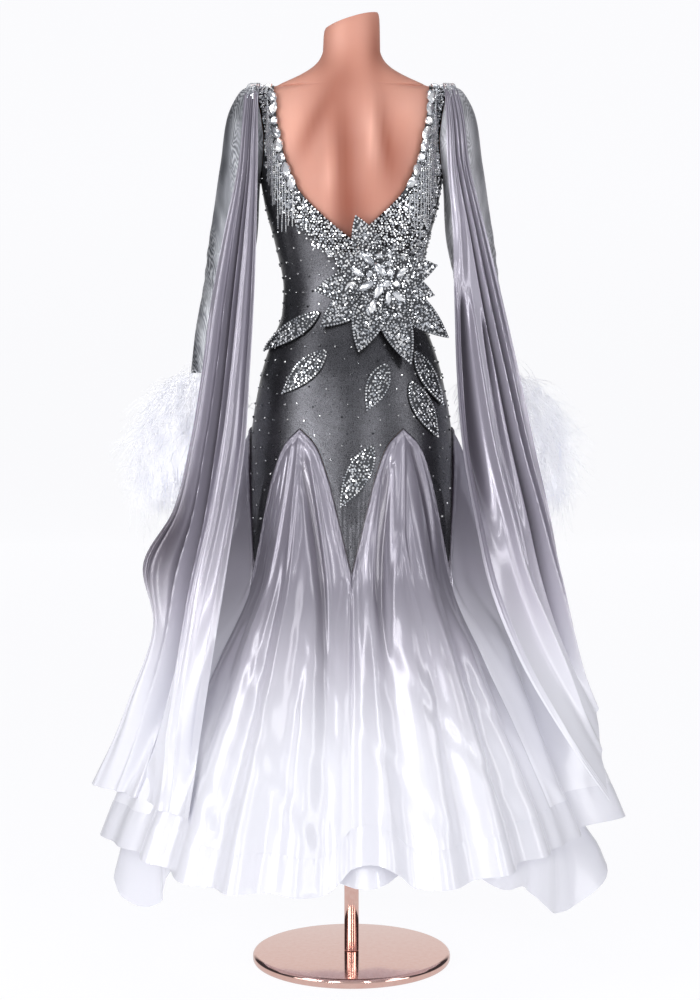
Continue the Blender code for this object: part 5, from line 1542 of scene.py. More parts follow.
@dataclass
class Float:
    """A satin panel gathered at the shoulder, which falls in long folds outside sleeve, cuff and skirt.

    Attributes:
        side: 1 for the wearer's right and -1 for the left.
        table: Its two edges, row by row.
        pleats: Its long folds.
        edge_line: Distance out of its outer edge at the heights where that edge would hang without its curl.
        turned: Height about which painted shade darkens its outer edge, where it turns over, or 0.
    """

    side: int
    table: tuple
    pleats: tuple
    edge_line: tuple
    turned: float = 0.0
    columns: int = 146
    rows: int = 112

    def edges(self) -> tuple[Array, Array, Array, Array]:
        """Returns points of the inner, the outer and the straight outer edge, and the depth of the folds."""
        inner = np.array([[[h.in_x, h.in_y, h.in_z]] for h in self.table])
        outer = np.array([[[h.out_x, h.out_y, h.out_z]] for h in self.table])
        fold = np.array([[[h.fold, 0, 0]] for h in self.table])
        both = through(np.concatenate([inner, outer, fold], axis=1), self.rows)
        straight = both[:, 1].copy()
        low = straight[:, 2] < self.edge_line[-1].at
        straight[low, 0] = along_table(self.edge_line, "value", straight[low, 2])
        return both[:, 0], both[:, 1], straight, np.maximum(both[:, 2, 0], 0)

    def wave(self, share: Array, along: Array) -> Array:
        """Returns the folds across the float, as shares of its fold depth."""
        height = np.zeros(np.broadcast(share, along).shape)
        for pleat in self.pleats:
            middle = mix(pleat.top, pleat.low, along) + pleat.bend * 4 * along * (1 - along)
            grown = soft_step((along - pleat.start) / pleat.rise + (pleat.start <= 0))
            faded = soft_step((pleat.end - along) / 0.2)
            part = np.clip((along - pleat.start) / (min(pleat.end, 1.0) - pleat.start), 0, 1)
            wide = pleat.half_width * mix(1.0, pleat.widening, part)
            height = height + pleat.depth * grown * faded * hump(share - middle, wide)
        return height

    def surface(self) -> tuple[Array, Array, Array]:
        """Returns the grid of the outer face, the direction out of it and its share of painted shade."""
        inner, outer, straight, depth = self.edges()
        share = np.linspace(0, 1, self.columns + 1)[None, :]
        along = np.linspace(0, 1, self.rows)[:, None]
        across = outer - inner
        width = np.linalg.norm(across[:, :2], axis=1)[:, None]
        flat = across[:, None, :] * [1, 1, 0]
        flat /= np.maximum(np.linalg.norm(flat, axis=2, keepdims=True), 1e-9)
        front = np.stack([flat[..., 1], -flat[..., 0], np.zeros_like(flat[..., 0])], axis=-1)
        room = np.minimum(depth[:, None] * 1.25, 0.20 * width)
        gather = 0.0012 * np.sin(TURN * (share * 9 + 0.1 * np.sin(40 * along))) * soft_step(along / 0.012)
        gather = gather * soft_step((0.30 - along) / 0.28)
        slow = 0.10 * ripple(share * 1.5 + along * 1.1, 3 + self.side, 2) * soft_step(along / 0.3)
        fall = soft_step((1.0 - along) / 0.25) * 0.6 + 0.4
        line = inner[:, None, :] + (straight - inner)[:, None, :] * share[..., None]
        curled = inner[:, None, :] + across[:, None, :] * share[..., None]
        grid = mix(line, curled, soft_step((share - 0.60) / 0.40)[..., None])
        wave = self.wave(share, along)
        # Painted shade in the troughs and the gathers, and on the outer edge where it turns over.
        hollow = 0.48 * soft_step((-0.10 - wave) / 0.75) + 0.45 * soft_step(-gather / 0.0009)
        hollow = hollow + 1.1 * soft_step((share - 0.66) / 0.20) * hump(grid[..., 2] - self.turned, 0.105)
        lift = room * (wave * fall + slow) + gather
        mirror = [self.side, 1, 1]
        cling = CLING * soft_step((0.42 - share) / 0.42) * soft_step((0.90 - grid[..., 2]) / 0.30)
        placed = outside_skirt((grid + front * lift[..., None]) * mirror, 0.004 + 0.010 * share, cling)
        return placed * mirror, front, np.clip(hollow, 0, 1)

    def build(self) -> None:
        """Builds the float."""
        grid, front, hollow = self.surface()
        name = side_name(self.side)
        mirror = [self.side, 1, 1]
        Cloth(f"satin_float_{name}", grid * mirror, front * mirror, FLOAT_SATIN, "ombre_satin",
              (f"float_{name}",), Held.GATHERED, (f"jersey_back_{name}",), thickness=0.0007,
              hollow=hollow).build()
        self.shoulder_beads(grid, front)

    def shoulder_beads(self, grid: Array, front: Array) -> None:
        """Builds the short bead strands that lie over the gathers at the shoulder."""
        rng = np.random.default_rng(70 + self.side)
        centres, downs = [], []
        for share in (0.10, 0.24, 0.38, 0.50, 0.62, 0.74, 0.85, 0.96):
            column = int(share * self.columns)
            path = grid[:, column] + front[:, 0] * 0.0018
            length = np.concatenate([[0], np.cumsum(np.linalg.norm(np.diff(path, axis=0), axis=1))])
            spots = np.arange(0.004, 0.036 + 0.034 * rng.uniform(), 0.0030)
            path = np.stack([np.interp(spots, length, path[:, k]) for k in range(3)], axis=-1)
            centres.append(path[:-1])
            downs.append(np.diff(path, axis=0))
        centres, downs = np.concatenate(centres), np.concatenate(downs)
        sizes = np.tile([[0.0034, 0.0034, 0.0033]], (len(centres), 1))
        beads = BEAD_CUT.set_at(centres, downs, np.tile([[1.0, 0.2, 0]], (len(centres), 1)), sizes)
        joined(f"shoulder_beads_{side_name(self.side)}", [mirrored(*beads, self.side)], CRYSTAL)


# ---- cut stones ------------------------------------------------------------------------------------------
class Leaf(NamedTuple):
    """A leaf on the hips: the distance from the middle and the height of its root and tip, and its sizes."""

    name: str
    root_x: float
    root_z: float
    tip_x: float
    tip_z: float
    half_width: float
    base: float
    lift: float


HIP_LEAVES = rows_of(
    Leaf, ("hip_leaf_1", -0.05, 1.066, -0.142, 1.004, 0.015, 0.0024, 0.004),
    ("hip_leaf_2", -0.04, 1.004, -0.11, 0.934, 0.0175, 0.0009, 0.002),
    ("hip_leaf_3", 0.055, 0.982, 0.024, 0.907, 0.0185, 0.0005, 0.002),
    ("hip_leaf_4", 0.093, 0.954, 0.137, 0.864, 0.017, 0.0009, 0.002),
    ("hip_leaf_5", 0.101, 1.004, 0.146, 0.915, 0.014, 0.0009, 0.002),
    ("hip_leaf_6", 0.034, 0.852, -0.018, 0.754, 0.0195, 0.0009, 0.002),
)


class Petal(NamedTuple):
    """A petal of the flower: its direction (0 is +X, 90 is up), reach, half width and layer."""

    name: str
    degrees: float
    reach: float
    half_width: float
    layer: int


PETALS = rows_of(
    Petal, ("petal_top", 111, 0.108, 0.024, 0), ("petal_up_right", 14, 0.096, 0.023, 1),
    ("petal_right", -16, 0.092, 0.022, 2), ("petal_low_right", -40, 0.146, 0.025, 0),
    ("petal_down_right", -70, 0.146, 0.026, 1), ("petal_down", -106, 0.122, 0.027, 2),
    ("petal_down_left", -141, 0.122, 0.025, 0), ("petal_left", 190, 0.106, 0.024, 1),
    ("petal_up_left", 152, 0.08, 0.022, 2), ("inner_petal_1", 66, 0.06, 0.018, 3),
    ("inner_petal_2", 6, 0.062, 0.018, 4), ("inner_petal_3", -52, 0.066, 0.018, 3),
    ("inner_petal_4", -110, 0.066, 0.018, 4), ("inner_petal_5", -168, 0.062, 0.018, 3),
    ("inner_petal_6", 125, 0.06, 0.018, 4),
)
FLOWER_X, FLOWER_Z, PETAL_ROOT, LAYER_STEP = 0.045, 1.118, 0.0138, 0.0042
STEM_RADIUS, NET_THICKNESS = 0.0135, 0.0011


class Jewel(NamedTuple):
    """A large stone of the flower: its place beside the middle, size and turn in millimetres and degrees."""

    across: float
    up: float
    long: float
    wide: float
    turn: float
    pointed: bool
    lift: float


FLOWER_JEWELS = rows_of(
    Jewel, (0, 14, 25, 14, -49, True, 9.0), (-19, 31, 26, 12, -45, True, 3.0),
    (-34, 11, 26, 12, -32, True, 2.5), (-16, 7, 12, 10, 60, False, 6.0), (16, 38, 16, 10, 88, True, 3.5),
    (14, 23, 13, 12, 0, False, 6.0), (17, 9, 13, 12, 30, False, 7.0), (35, 10, 23, 11, 39, True, 3.0),
    (-21, -12, 26, 13, 28, True, 4.5), (-45, -9, 16, 9, 10, False, 1.0), (-2, -20, 24, 13, 60, True, 7.0),
    (13.5, -30, 24, 11, -86, True, 4.0), (31, -28, 24, 13, -38, True, 2.5),
    (-12, -45, 23, 12, 75, True, 1.5), (26, -8, 13, 12, 0, False, 5.0), (11, -9, 13, 12, 20, False, 8.0),
    (0, 36, 12, 11, 0, False, 2.5), (36, 34, 13, 9, 20, False, 1.0), (-23, 67, 17, 9, -65, True, 1.0),
    (33, -57, 14, 6, -50, True, 1.0),
)
NECK_STONES, STONE_WIDTH = 8, 0.011
STRANDS = rows_of(
    Pair, (0.02, 0.085), (0.08, 0.094), (0.14, 0.098), (0.2, 0.104), (0.26, 0.108), (0.32, 0.112),
    (0.38, 0.1), (0.44, 0.118), (0.5, 0.112), (0.57, 0.098), (0.64, 0.106), (0.7, 0.092), (0.77, 0.098),
    (0.84, 0.076), (0.91, 0.07), (0.97, 0.052),
)


class StoneCut:
    """A cut stone's form, one unit long and wide, with its back at height 0 and its table at height 1."""

    def __init__(self, sides: int, steps: tuple[tuple[float, float], ...], pointed: bool = False) -> None:
        """Works out the vertices and faces.

        Args:
            sides: Sides of its outline.
            steps: Height and share of the outline at each ring of corners.
            pointed: Whether the outline is drawn to a point at both ends.
        """
        rings = []
        for k, (height, share) in enumerate(steps):
            turn = TURN * (np.arange(sides) + 0.5 * (k % 2)) / sides
            narrow = np.abs(np.sin(turn)) ** 0.45 if pointed else 1.0
            rings.append(at_angle(np.cos(turn) * share / 2, np.sin(turn) * narrow * share / 2, height))
        self.points = np.concatenate(rings)
        self.faces = [list(range(sides))[::-1], list(range(len(self.points) - sides, len(self.points)))]
        for k in range(len(steps) - 1):
            low, high = k * sides, (k + 1) * sides
            ahead = k % 2
            for j in range(sides):
                right = (j + 1) % sides
                if ahead:
                    self.faces += [[low + j, low + right, high + right], [low + j, high + right, high + j]]
                else:
                    self.faces += [[low + j, low + right, high + j], [high + j, low + right, high + right]]

    def set_at(self, centres: Array, normals: Array, along: Array, sizes: Array) -> tuple[Array, list]:
        """Sets many of the stone.

        Args:
            centres: Middle of each stone's back.
            normals: Direction of each stone's table.
            along: Rough direction of each stone's length.
            sizes: Length, width and height of each.

        Returns:
            The vertices and faces of all.
        """
        normals = normals / np.linalg.norm(normals, axis=1, keepdims=True)
        along = along - normals * np.sum(along * normals, axis=1, keepdims=True)
        along /= np.maximum(np.linalg.norm(along, axis=1, keepdims=True), 1e-9)
        beside = np.cross(normals, along)
        scaled = self.points[None] * sizes[:, None, :]
        points = (centres[:, None] + scaled[..., :1] * along[:, None] + scaled[..., 1:2] * beside[:, None]
                  + scaled[..., 2:] * normals[:, None])
        count = len(self.points)
        faces = [[v + k * count for v in face] for k in range(len(centres)) for face in self.faces]
        return points.reshape(-1, 3), faces


SMALL_CUT = StoneCut(6, ((0.0, 0.92), (0.35, 1.0), (1.0, 0.64)))
ROUND_CUT = StoneCut(10, ((0.0, 0.94), (0.30, 1.0), (0.78, 0.80), (1.0, 0.50)))
NAVETTE_CUT = StoneCut(12, ((0.0, 0.92), (0.30, 1.0), (0.78, 0.76), (1.0, 0.40)), pointed=True)
BEAD_CUT = StoneCut(5, ((0.0, 0.35), (0.5, 1.0), (1.0, 0.35)))


def joined(name: str, groups: list[tuple[Array, list]], finish: Finish,
           nodes: tuple[str, ...] = ()) -> None:
    """Joins groups of vertices and faces into one piece with flat facets."""
    faces, start = [], 0
    for points, polygons in groups:
        faces += [[v + start for v in face] for face in polygons]
        start += len(points)
    settle(new_mesh(name, np.concatenate([g[0] for g in groups]), faces, finish, smooth=False), nodes)


def surface_frames(place: Callable, a: Array, b: Array, step_a: float,
                   step_b: float) -> tuple[Array, Array, Array]:
    """Reads a surface at many places.

    Args:
        place: Gives points from two coordinates and a height above the surface.
        a: First coordinates.
        b: Second coordinates.
        step_a: A small step of the first coordinate.
        step_b: A small step of the second coordinate.

    Returns:
        The points, the normals and the directions in which the first coordinate grows.
    """
    here = place(a, b, 0.0)
    fore = place(a + step_a, b, 0.0) - place(a - step_a, b, 0.0)
    beside = place(a, b + step_b, 0.0) - place(a, b - step_b, 0.0)
    normal = np.cross(fore, beside)
    normal /= np.maximum(np.linalg.norm(normal, axis=1, keepdims=True), 1e-12)
    up = place(a, b, 0.001) - here
    return here, normal * np.sign(np.sum(normal * up, axis=1, keepdims=True)), fore


def rose_grid(wide: float, high: float, pitch: float, rng: Dice, loose: float = 0.18) -> tuple[Array, Array]:
    """Returns places on a staggered grid over a rectangle round the origin, each moved a little."""
    columns, rows = int(wide / pitch) + 2, int(high / (pitch * 0.866)) + 2
    i, j = np.meshgrid(np.arange(columns), np.arange(rows))
    u = (i + 0.5 * (j % 2) - columns / 2) * pitch + rng.normal(0, loose * pitch, i.shape)
    v = (j - rows / 2) * pitch * 0.866 + rng.normal(0, loose * pitch, i.shape)
    return u.ravel(), v.ravel()


def blade_width(half_width: float, share: Array) -> Array:
    """Returns the half width of a leaf or petal at a share of its length."""
    return half_width * np.maximum(np.sin(math.pi * np.clip(share, 0.0, 1.0) ** 0.82), 0.0) ** 0.85


@dataclass
class JewelledPlate:
    """A leaf or petal: stiffened net covered in small stones.

    Attributes:
        node: The solid that it stands for.
        length: Its length in metres.
        half_width: Half its width.
        place: Gives points from the share along, metres across and metres above its underside.
        seed: Seed of its small irregularities.
        covered: Says at which points another plate lies on it.
    """

    node: str
    length: float
    half_width: float
    place: Callable
    seed: int
    covered: Callable
    pitch: float = 0.0052

    def reach(self, along: Array) -> Array:
        """Returns its half width at a share of its length."""
        return blade_width(self.half_width, along)

    def net(self) -> None:
        """Builds the plate."""
        along = np.linspace(0.004, 0.996, 30)[:, None]
        across = np.linspace(-1, 1, 11)[None, :] * self.reach(along)
        along = np.broadcast_to(along, across.shape)
        rounded = NET_THICKNESS * (0.35 + 0.65 * np.sqrt(np.maximum(1 - np.linspace(-1, 1, 11) ** 2, 0)))
        layers = [self.place(along, across, np.zeros_like(across)),
                  self.place(along, across, np.broadcast_to(rounded, across.shape))]
        high, wide = across.shape
        quads = grid_quads(high, wide).reshape(-1, 4)
        rim = np.concatenate([np.arange(wide), (np.arange(1, high)) * wide + wide - 1,
                              (high - 1) * wide + np.arange(wide - 1)[::-1],
                              np.arange(1, high - 1)[::-1] * wide])
        after = np.roll(rim, -1)
        count = high * wide
        sides = np.stack([rim, rim + count, after + count, after], axis=-1)
        points = np.concatenate([layer.reshape(-1, 3) for layer in layers])
        faces = np.concatenate([quads, quads[:, ::-1] + count, sides])
        normal = np.cross(points[quads[0, 1]] - points[quads[0, 0]],
                          points[quads[0, 3]] - points[quads[0, 0]])
        if np.dot(normal, points[count] - points[0]) > 0:
            faces = faces[:, ::-1]
        settle(new_mesh(f"net_{self.node}", points, faces, NET), (self.node,))

    def stones(self) -> None:
        """Builds the stones: a row along the edge, and the rest closely set between."""
        rng = np.random.default_rng(self.seed)
        edge = np.linspace(0.03, 0.985, int(self.length / 0.0044))
        edge_side = np.maximum(self.reach(edge) - 0.0021, 0)
        u, v = rose_grid(self.length, 2 * self.half_width, self.pitch, rng)
        along = np.concatenate([edge, edge, u / self.length + 0.5])
        across = np.concatenate([edge_side, -edge_side, v])
        on_edge = np.arange(len(along)) < 2 * len(edge)
        inside = np.abs(across) < self.reach(along) - np.where(on_edge, 0.0, 0.0052)
        keep = (along > 0.02) & (along < 0.99) & (inside | on_edge)
        along, across, on_edge = along[keep], across[keep], on_edge[keep]
        here, normal, fore = surface_frames(lambda a, b, h: self.place(a, b, h + NET_THICKNESS * 0.9), along,
                                            across, 0.0015 / self.length, 0.0015)
        free = ~self.covered(here[:, 0], here[:, 2])
        along, here, normal, fore = along[free], here[free], normal[free], fore[free]
        wide = mix(0.0040, 0.0054, soft_step(along * 1.3 - 0.15)) * rng.uniform(0.78, 1.12, len(along))
        wide = np.where(on_edge[free], np.minimum(wide, 0.0042), wide)
        sizes = np.stack([wide, wide, wide * 0.50], axis=-1)
        normal = normal + rng.normal(0, 0.07, normal.shape)
        fore = fore / np.linalg.norm(fore, axis=1, keepdims=True) + rng.normal(0, 0.8, fore.shape)
        joined(f"stones_{self.node}", [SMALL_CUT.set_at(here, normal, fore, sizes)], CRYSTAL)

    def build(self) -> None:
        """Builds the plate and its stones."""
        self.net()
        self.stones()


def back_angle(x: Array, z: Array) -> Array:
    """Returns the angle of the sheath's back at a distance from the middle."""
    return np.arcsin(np.clip(x / along_table(FIGURE, "half_width", z), -0.999, 0.999))


@dataclass
class HipLeaves:
    """Six leaves that lie on the sheath."""

    def build(self) -> None:
        """Builds the leaves."""
        for k, leaf in enumerate(HIP_LEAVES):
            root, tip = np.array([leaf.root_x, leaf.root_z]), np.array([leaf.tip_x, leaf.tip_z])
            length = float(np.linalg.norm(tip - root))
            along = (tip - root) / length
            plate = JewelledPlate(leaf.name, length, leaf.half_width, self.placer(leaf, root, tip, along),
                                  20 + k, lambda x, z: np.zeros(len(x), bool))
            plate.build()

    def placer(self, leaf: Leaf, root: Array, tip: Array, along: Array) -> Callable:
        """Returns the function that gives a leaf's points."""
        def place(share: Array, side: Array, height: Array) -> Array:
            """Returns points of the leaf at a share along it, metres across and metres up."""
            x = mix(root[0], tip[0], share) - along[1] * side
            z = mix(root[1], tip[1], share) + along[0] * side
            curl = leaf.lift * share**2 + 0.0012 * (np.abs(side) / leaf.half_width) ** 2
            return figure_point(back_angle(x, z), z, leaf.base + curl + height)
        return place


@dataclass
class Flower:
    """The flower at the waist: nine outer petals, six inner ones and a middle of large cut stones."""

    def depth(self, x: Array, z: Array) -> Array:
        """Returns Y of the lowest layer, a shallow saddle over the waist."""
        return -0.0835 - 1.6 * (z - 1.11) ** 2 + 1.2 * x * x

    def local(self, petal: Petal, x: Array, z: Array) -> tuple[Array, Array]:
        """Returns the share along a petal and the distance across it."""
        turn = math.radians(petal.degrees)
        u, v = x - FLOWER_X, z - FLOWER_Z
        along = u * math.cos(turn) + v * math.sin(turn)
        return (along - PETAL_ROOT) / (petal.reach - PETAL_ROOT), -u * math.sin(turn) + v * math.cos(turn)

    def placer(self, petal: Petal) -> Callable:
        """Returns the function that gives a petal's points."""
        turn = math.radians(petal.degrees)

        def place(share: Array, side: Array, height: Array) -> Array:
            """Returns points of the petal at a share along it, metres across and metres up."""
            reach = mix(PETAL_ROOT, petal.reach, share)
            x = FLOWER_X + reach * math.cos(turn) - side * math.sin(turn)
            z = FLOWER_Z + reach * math.sin(turn) + side * math.cos(turn)
            ridge = 0.0010 * (1 - np.abs(side) / petal.half_width) + 0.0022 * np.clip(share, 0, 1) ** 3
            return at_angle(x, self.depth(x, z) - petal.layer * LAYER_STEP - ridge - height, z)
        return place

    def covered(self, petal: Petal) -> Callable:
        """Returns the function that says where a higher petal lies on this one."""
        def under(x: Array, z: Array) -> Array:
            """Returns whether each point is well under a higher petal or the middle."""
            hidden = np.hypot(x - FLOWER_X, z - FLOWER_Z) < 0.016
            for other in PETALS:
                if other.layer > petal.layer:
                    share, side = self.local(other, x, z)
                    inside = np.abs(side) < blade_width(other.half_width, share) - 0.0035
                    hidden |= (share > 0.02) & (share < 0.97) & inside
            return hidden
        return under

    def top(self, x: float, z: float) -> float:
        """Returns Y of the highest petal at a point."""
        best = float(self.depth(x, z))
        for petal in PETALS:
            share, side = self.local(petal, np.array(x), np.array(z))
            if 0 <= share <= 1 and abs(side) <= blade_width(petal.half_width, share):
                best = min(best, float(self.placer(petal)(share, side, 0.0024)[1]))
        return best

    def middle(self) -> None:
        """Builds the middle: a domed net cushion on a stem, and the large stones round it."""
        floor = float(self.depth(FLOWER_X, FLOWER_Z)) - 5.6 * LAYER_STEP
        seat = float(np.min(figure_point(back_angle(np.array([FLOWER_X - STEM_RADIUS, FLOWER_X]), FLOWER_Z),
                                         FLOWER_Z)[:, 1]))
        sides = 32
        turn = TURN * np.arange(sides) / sides
        outline = ((STEM_RADIUS, seat), (STEM_RADIUS, floor), (0.022, floor + 0.0005),
                   (0.0235, floor - 0.002), (0.019, floor - 0.0055), (0.012, floor - 0.0075),
                   (0.005, floor - 0.0082))
        rings = [at_angle(FLOWER_X + r * np.cos(turn), y, FLOWER_Z + r * np.sin(turn)) for r, y in outline]
        faces = []
        for low in range(0, (len(rings) - 1) * sides, sides):
            faces += [[low + j, low + sides + j, low + sides + (j + 1) % sides, low + (j + 1) % sides]
                      for j in range(sides)]
        faces += [list(range(sides)), list(range((len(rings) - 1) * sides, len(rings) * sides))[::-1]]
        cushion = new_mesh("flower_cushion", np.concatenate(rings), faces, NET)
        settle(cushion, ("flower_middle",))
        groups = []
        for jewel in FLOWER_JEWELS:
            x, z = FLOWER_X + jewel.across * MILLI, FLOWER_Z + jewel.up * MILLI
            far = math.hypot(jewel.across, jewel.up)
            dome = floor - float(np.interp(far, (0, 5, 12, 19, 26), (8.2, 8.2, 7.5, 5.0, 1.0))) * MILLI
            under = min(self.top(x, z), dome if far < 26 else 0.0)
            centre = np.array([[x, under - (jewel.lift * 0.25 + 0.3) * MILLI, z]])
            turn = math.radians(jewel.turn)
            lean = np.array([[jewel.across * 0.006, -1.0, jewel.up * 0.006]])
            cut = NAVETTE_CUT if jewel.pointed else ROUND_CUT
            size = np.array([[jewel.long * 1.10, jewel.wide * 1.0, 6.0]]) * MILLI
            groups.append(cut.set_at(centre, lean, np.array([[math.cos(turn), 0.0, math.sin(turn)]]), size))
        joined("flower_jewels", groups, JEWEL_CRYSTAL)
        rng = np.random.default_rng(58)
        u, v = rose_grid(0.05, 0.05, 0.0046, rng)
        far = np.hypot(u, v)
        u, v, far = u[far < 0.0225], v[far < 0.0225], far[far < 0.0225]
        rise = np.interp(far * 1000, (0, 5, 12, 19, 23.5), (8.2, 8.2, 7.5, 5.5, 2.0)) * MILLI
        centres = np.stack([FLOWER_X + u, floor - rise + 0.0003, FLOWER_Z + v], axis=-1)
        lean = np.stack([u * 28, -np.ones(len(u)), v * 28], axis=-1)
        wide = rng.uniform(0.0032, 0.0046, len(u))
        small = SMALL_CUT.set_at(centres, lean, rng.normal(0, 1, lean.shape),
                                 np.stack([wide, wide, wide * 0.5], axis=-1))
        joined("stones_flower_cushion", [small], CRYSTAL)

    def build(self) -> None:
        """Builds the flower."""
        for k, petal in enumerate(PETALS):
            JewelledPlate(petal.name, petal.reach - PETAL_ROOT, petal.half_width, self.placer(petal), 60 + k,
                          self.covered(petal)).build()
        self.middle()


@dataclass
class BodiceStones:
    """Small stones on the sheath: closely set beside the back neckline, and single ones all over."""

    radius: float = 0.115
    hip_radius: float = 0.138
    pitch: float = 0.0046
    stud_pitch: float = 0.0265

    def on_sheath(self, phi: Array, z: Array, height: Array) -> Array:
        """Returns points above the sheath."""
        return figure_point(phi, z, height)

    def neck_distance(self, phi: Array, z: Array, side: int) -> Array:
        """Returns the distance from the neckline's edge on one side of the back, measured on the sheath."""
        level = np.linspace(BACK_NECK[0].at, 1.440, 90)
        edge = edge_angle(BACK_NECK, level) * side
        flat = np.hypot((phi[:, None] - edge[None]) * self.radius, z[:, None] - level[None])
        return flat.min(axis=1)

    def cover(self, phi: Array, z: Array, side: int) -> Array:
        """Returns the share of the sheath that the closely set stones cover on one side of the back."""
        far = self.neck_distance(phi, z, side)
        if side > 0:
            chance = soft_step((z - 1.055) / 0.05) * mix(1.0, 0.80, soft_step((far - 0.02) / 0.05))
            return np.where(phi > 1.28, chance * 0.25, chance)
        beside_neck = soft_step((0.056 - far) / 0.026)
        under_neck = soft_step((0.034 - np.abs(phi) * self.radius) / 0.02) * soft_step((z - 1.10) / 0.04)
        return np.maximum(beside_neck, under_neck)

    def crust(self) -> None:
        """Builds the closely set stones of the two sides of the back."""
        rng = np.random.default_rng(91)
        for side, name in ((1, "right"), (-1, "left")):
            u, v = rose_grid(math.pi / 2 * self.radius, 0.40, self.pitch, rng, 0.14)
            phi, z = (u / self.radius + math.pi / 4) * side, v + 1.235
            neck = edge_angle(BACK_NECK, np.maximum(z, BACK_NECK[0].at)) * side
            inside = (z < 1.184) | (phi * side > neck * side + 0.022)
            arm = edge_angle(ARMHOLE, np.maximum(z, UNDERARM_Z)) - 0.03
            inside &= (np.abs(phi) < np.where(z > UNDERARM_Z, arm, 1.50)) & (z < 1.434) & (phi * side > 0.004)
            keep = inside & (rng.uniform(0, 1, len(phi)) < self.cover(phi, z, side))
            phi, z = phi[keep], z[keep]
            level = np.linspace(1.184, 1.430, 54)
            edge = (edge_angle(BACK_NECK, level) + 0.016) * side
            phi, z = np.concatenate([phi, edge]), np.concatenate([z, level])
            small = rng.uniform(0.0034, 0.0053, len(phi))
            self.set_stones(f"crust_{name}", phi, z, small, rng, CRYSTAL)

    def set_stones(self, name: str, phi: Array, z: Array, wide: Array, rng: Dice, finish: Finish) -> None:
        """Sets small stones at places on the sheath as one piece."""
        here, normal, fore = surface_frames(self.on_sheath, phi, z, 0.01, 0.001)
        normal = normal + rng.normal(0, 0.12, normal.shape)
        fore = fore / np.linalg.norm(fore, axis=1, keepdims=True) + rng.normal(0, 0.8, fore.shape)
        sizes = np.stack([wide, wide, wide * 0.5], axis=-1)
        joined(name, [SMALL_CUT.set_at(here, normal, fore, sizes)], finish)

    def studs(self) -> None:
        """Builds the single stones, back and front."""
        rng = np.random.default_rng(17)
        for facing, name in ((-1, "back"), (1, "front")):
            u, v = rose_grid(math.pi * self.hip_radius, 0.64, self.stud_pitch, rng, 0.10)
            phi, z = u / self.hip_radius, v + 0.975
            neck = BACK_NECK if facing < 0 else FRONT_NECK
            low = neck[0].at
            turn = phi if facing < 0 else math.pi - phi
            edge = np.where(z > low, edge_angle(neck, np.maximum(z, low)) + 0.08, 0.0)
            arm = np.where(z > UNDERARM_Z, edge_angle(ARMHOLE, np.maximum(z, UNDERARM_Z)) - 0.05, math.pi / 2)
            keep = (z > seam_height(turn) + 0.008) & (np.abs(phi) > edge) & (np.abs(phi) < arm) & (z < 1.41)
            turn, z = turn[keep], z[keep]
            self.set_stones(f"studs_{name}", turn, z, rng.uniform(0.0034, 0.0044, len(z)), rng, STUD_CRYSTAL)

    def build(self) -> None:
        """Builds all the stones on the sheath."""
        self.crust()
        self.studs()


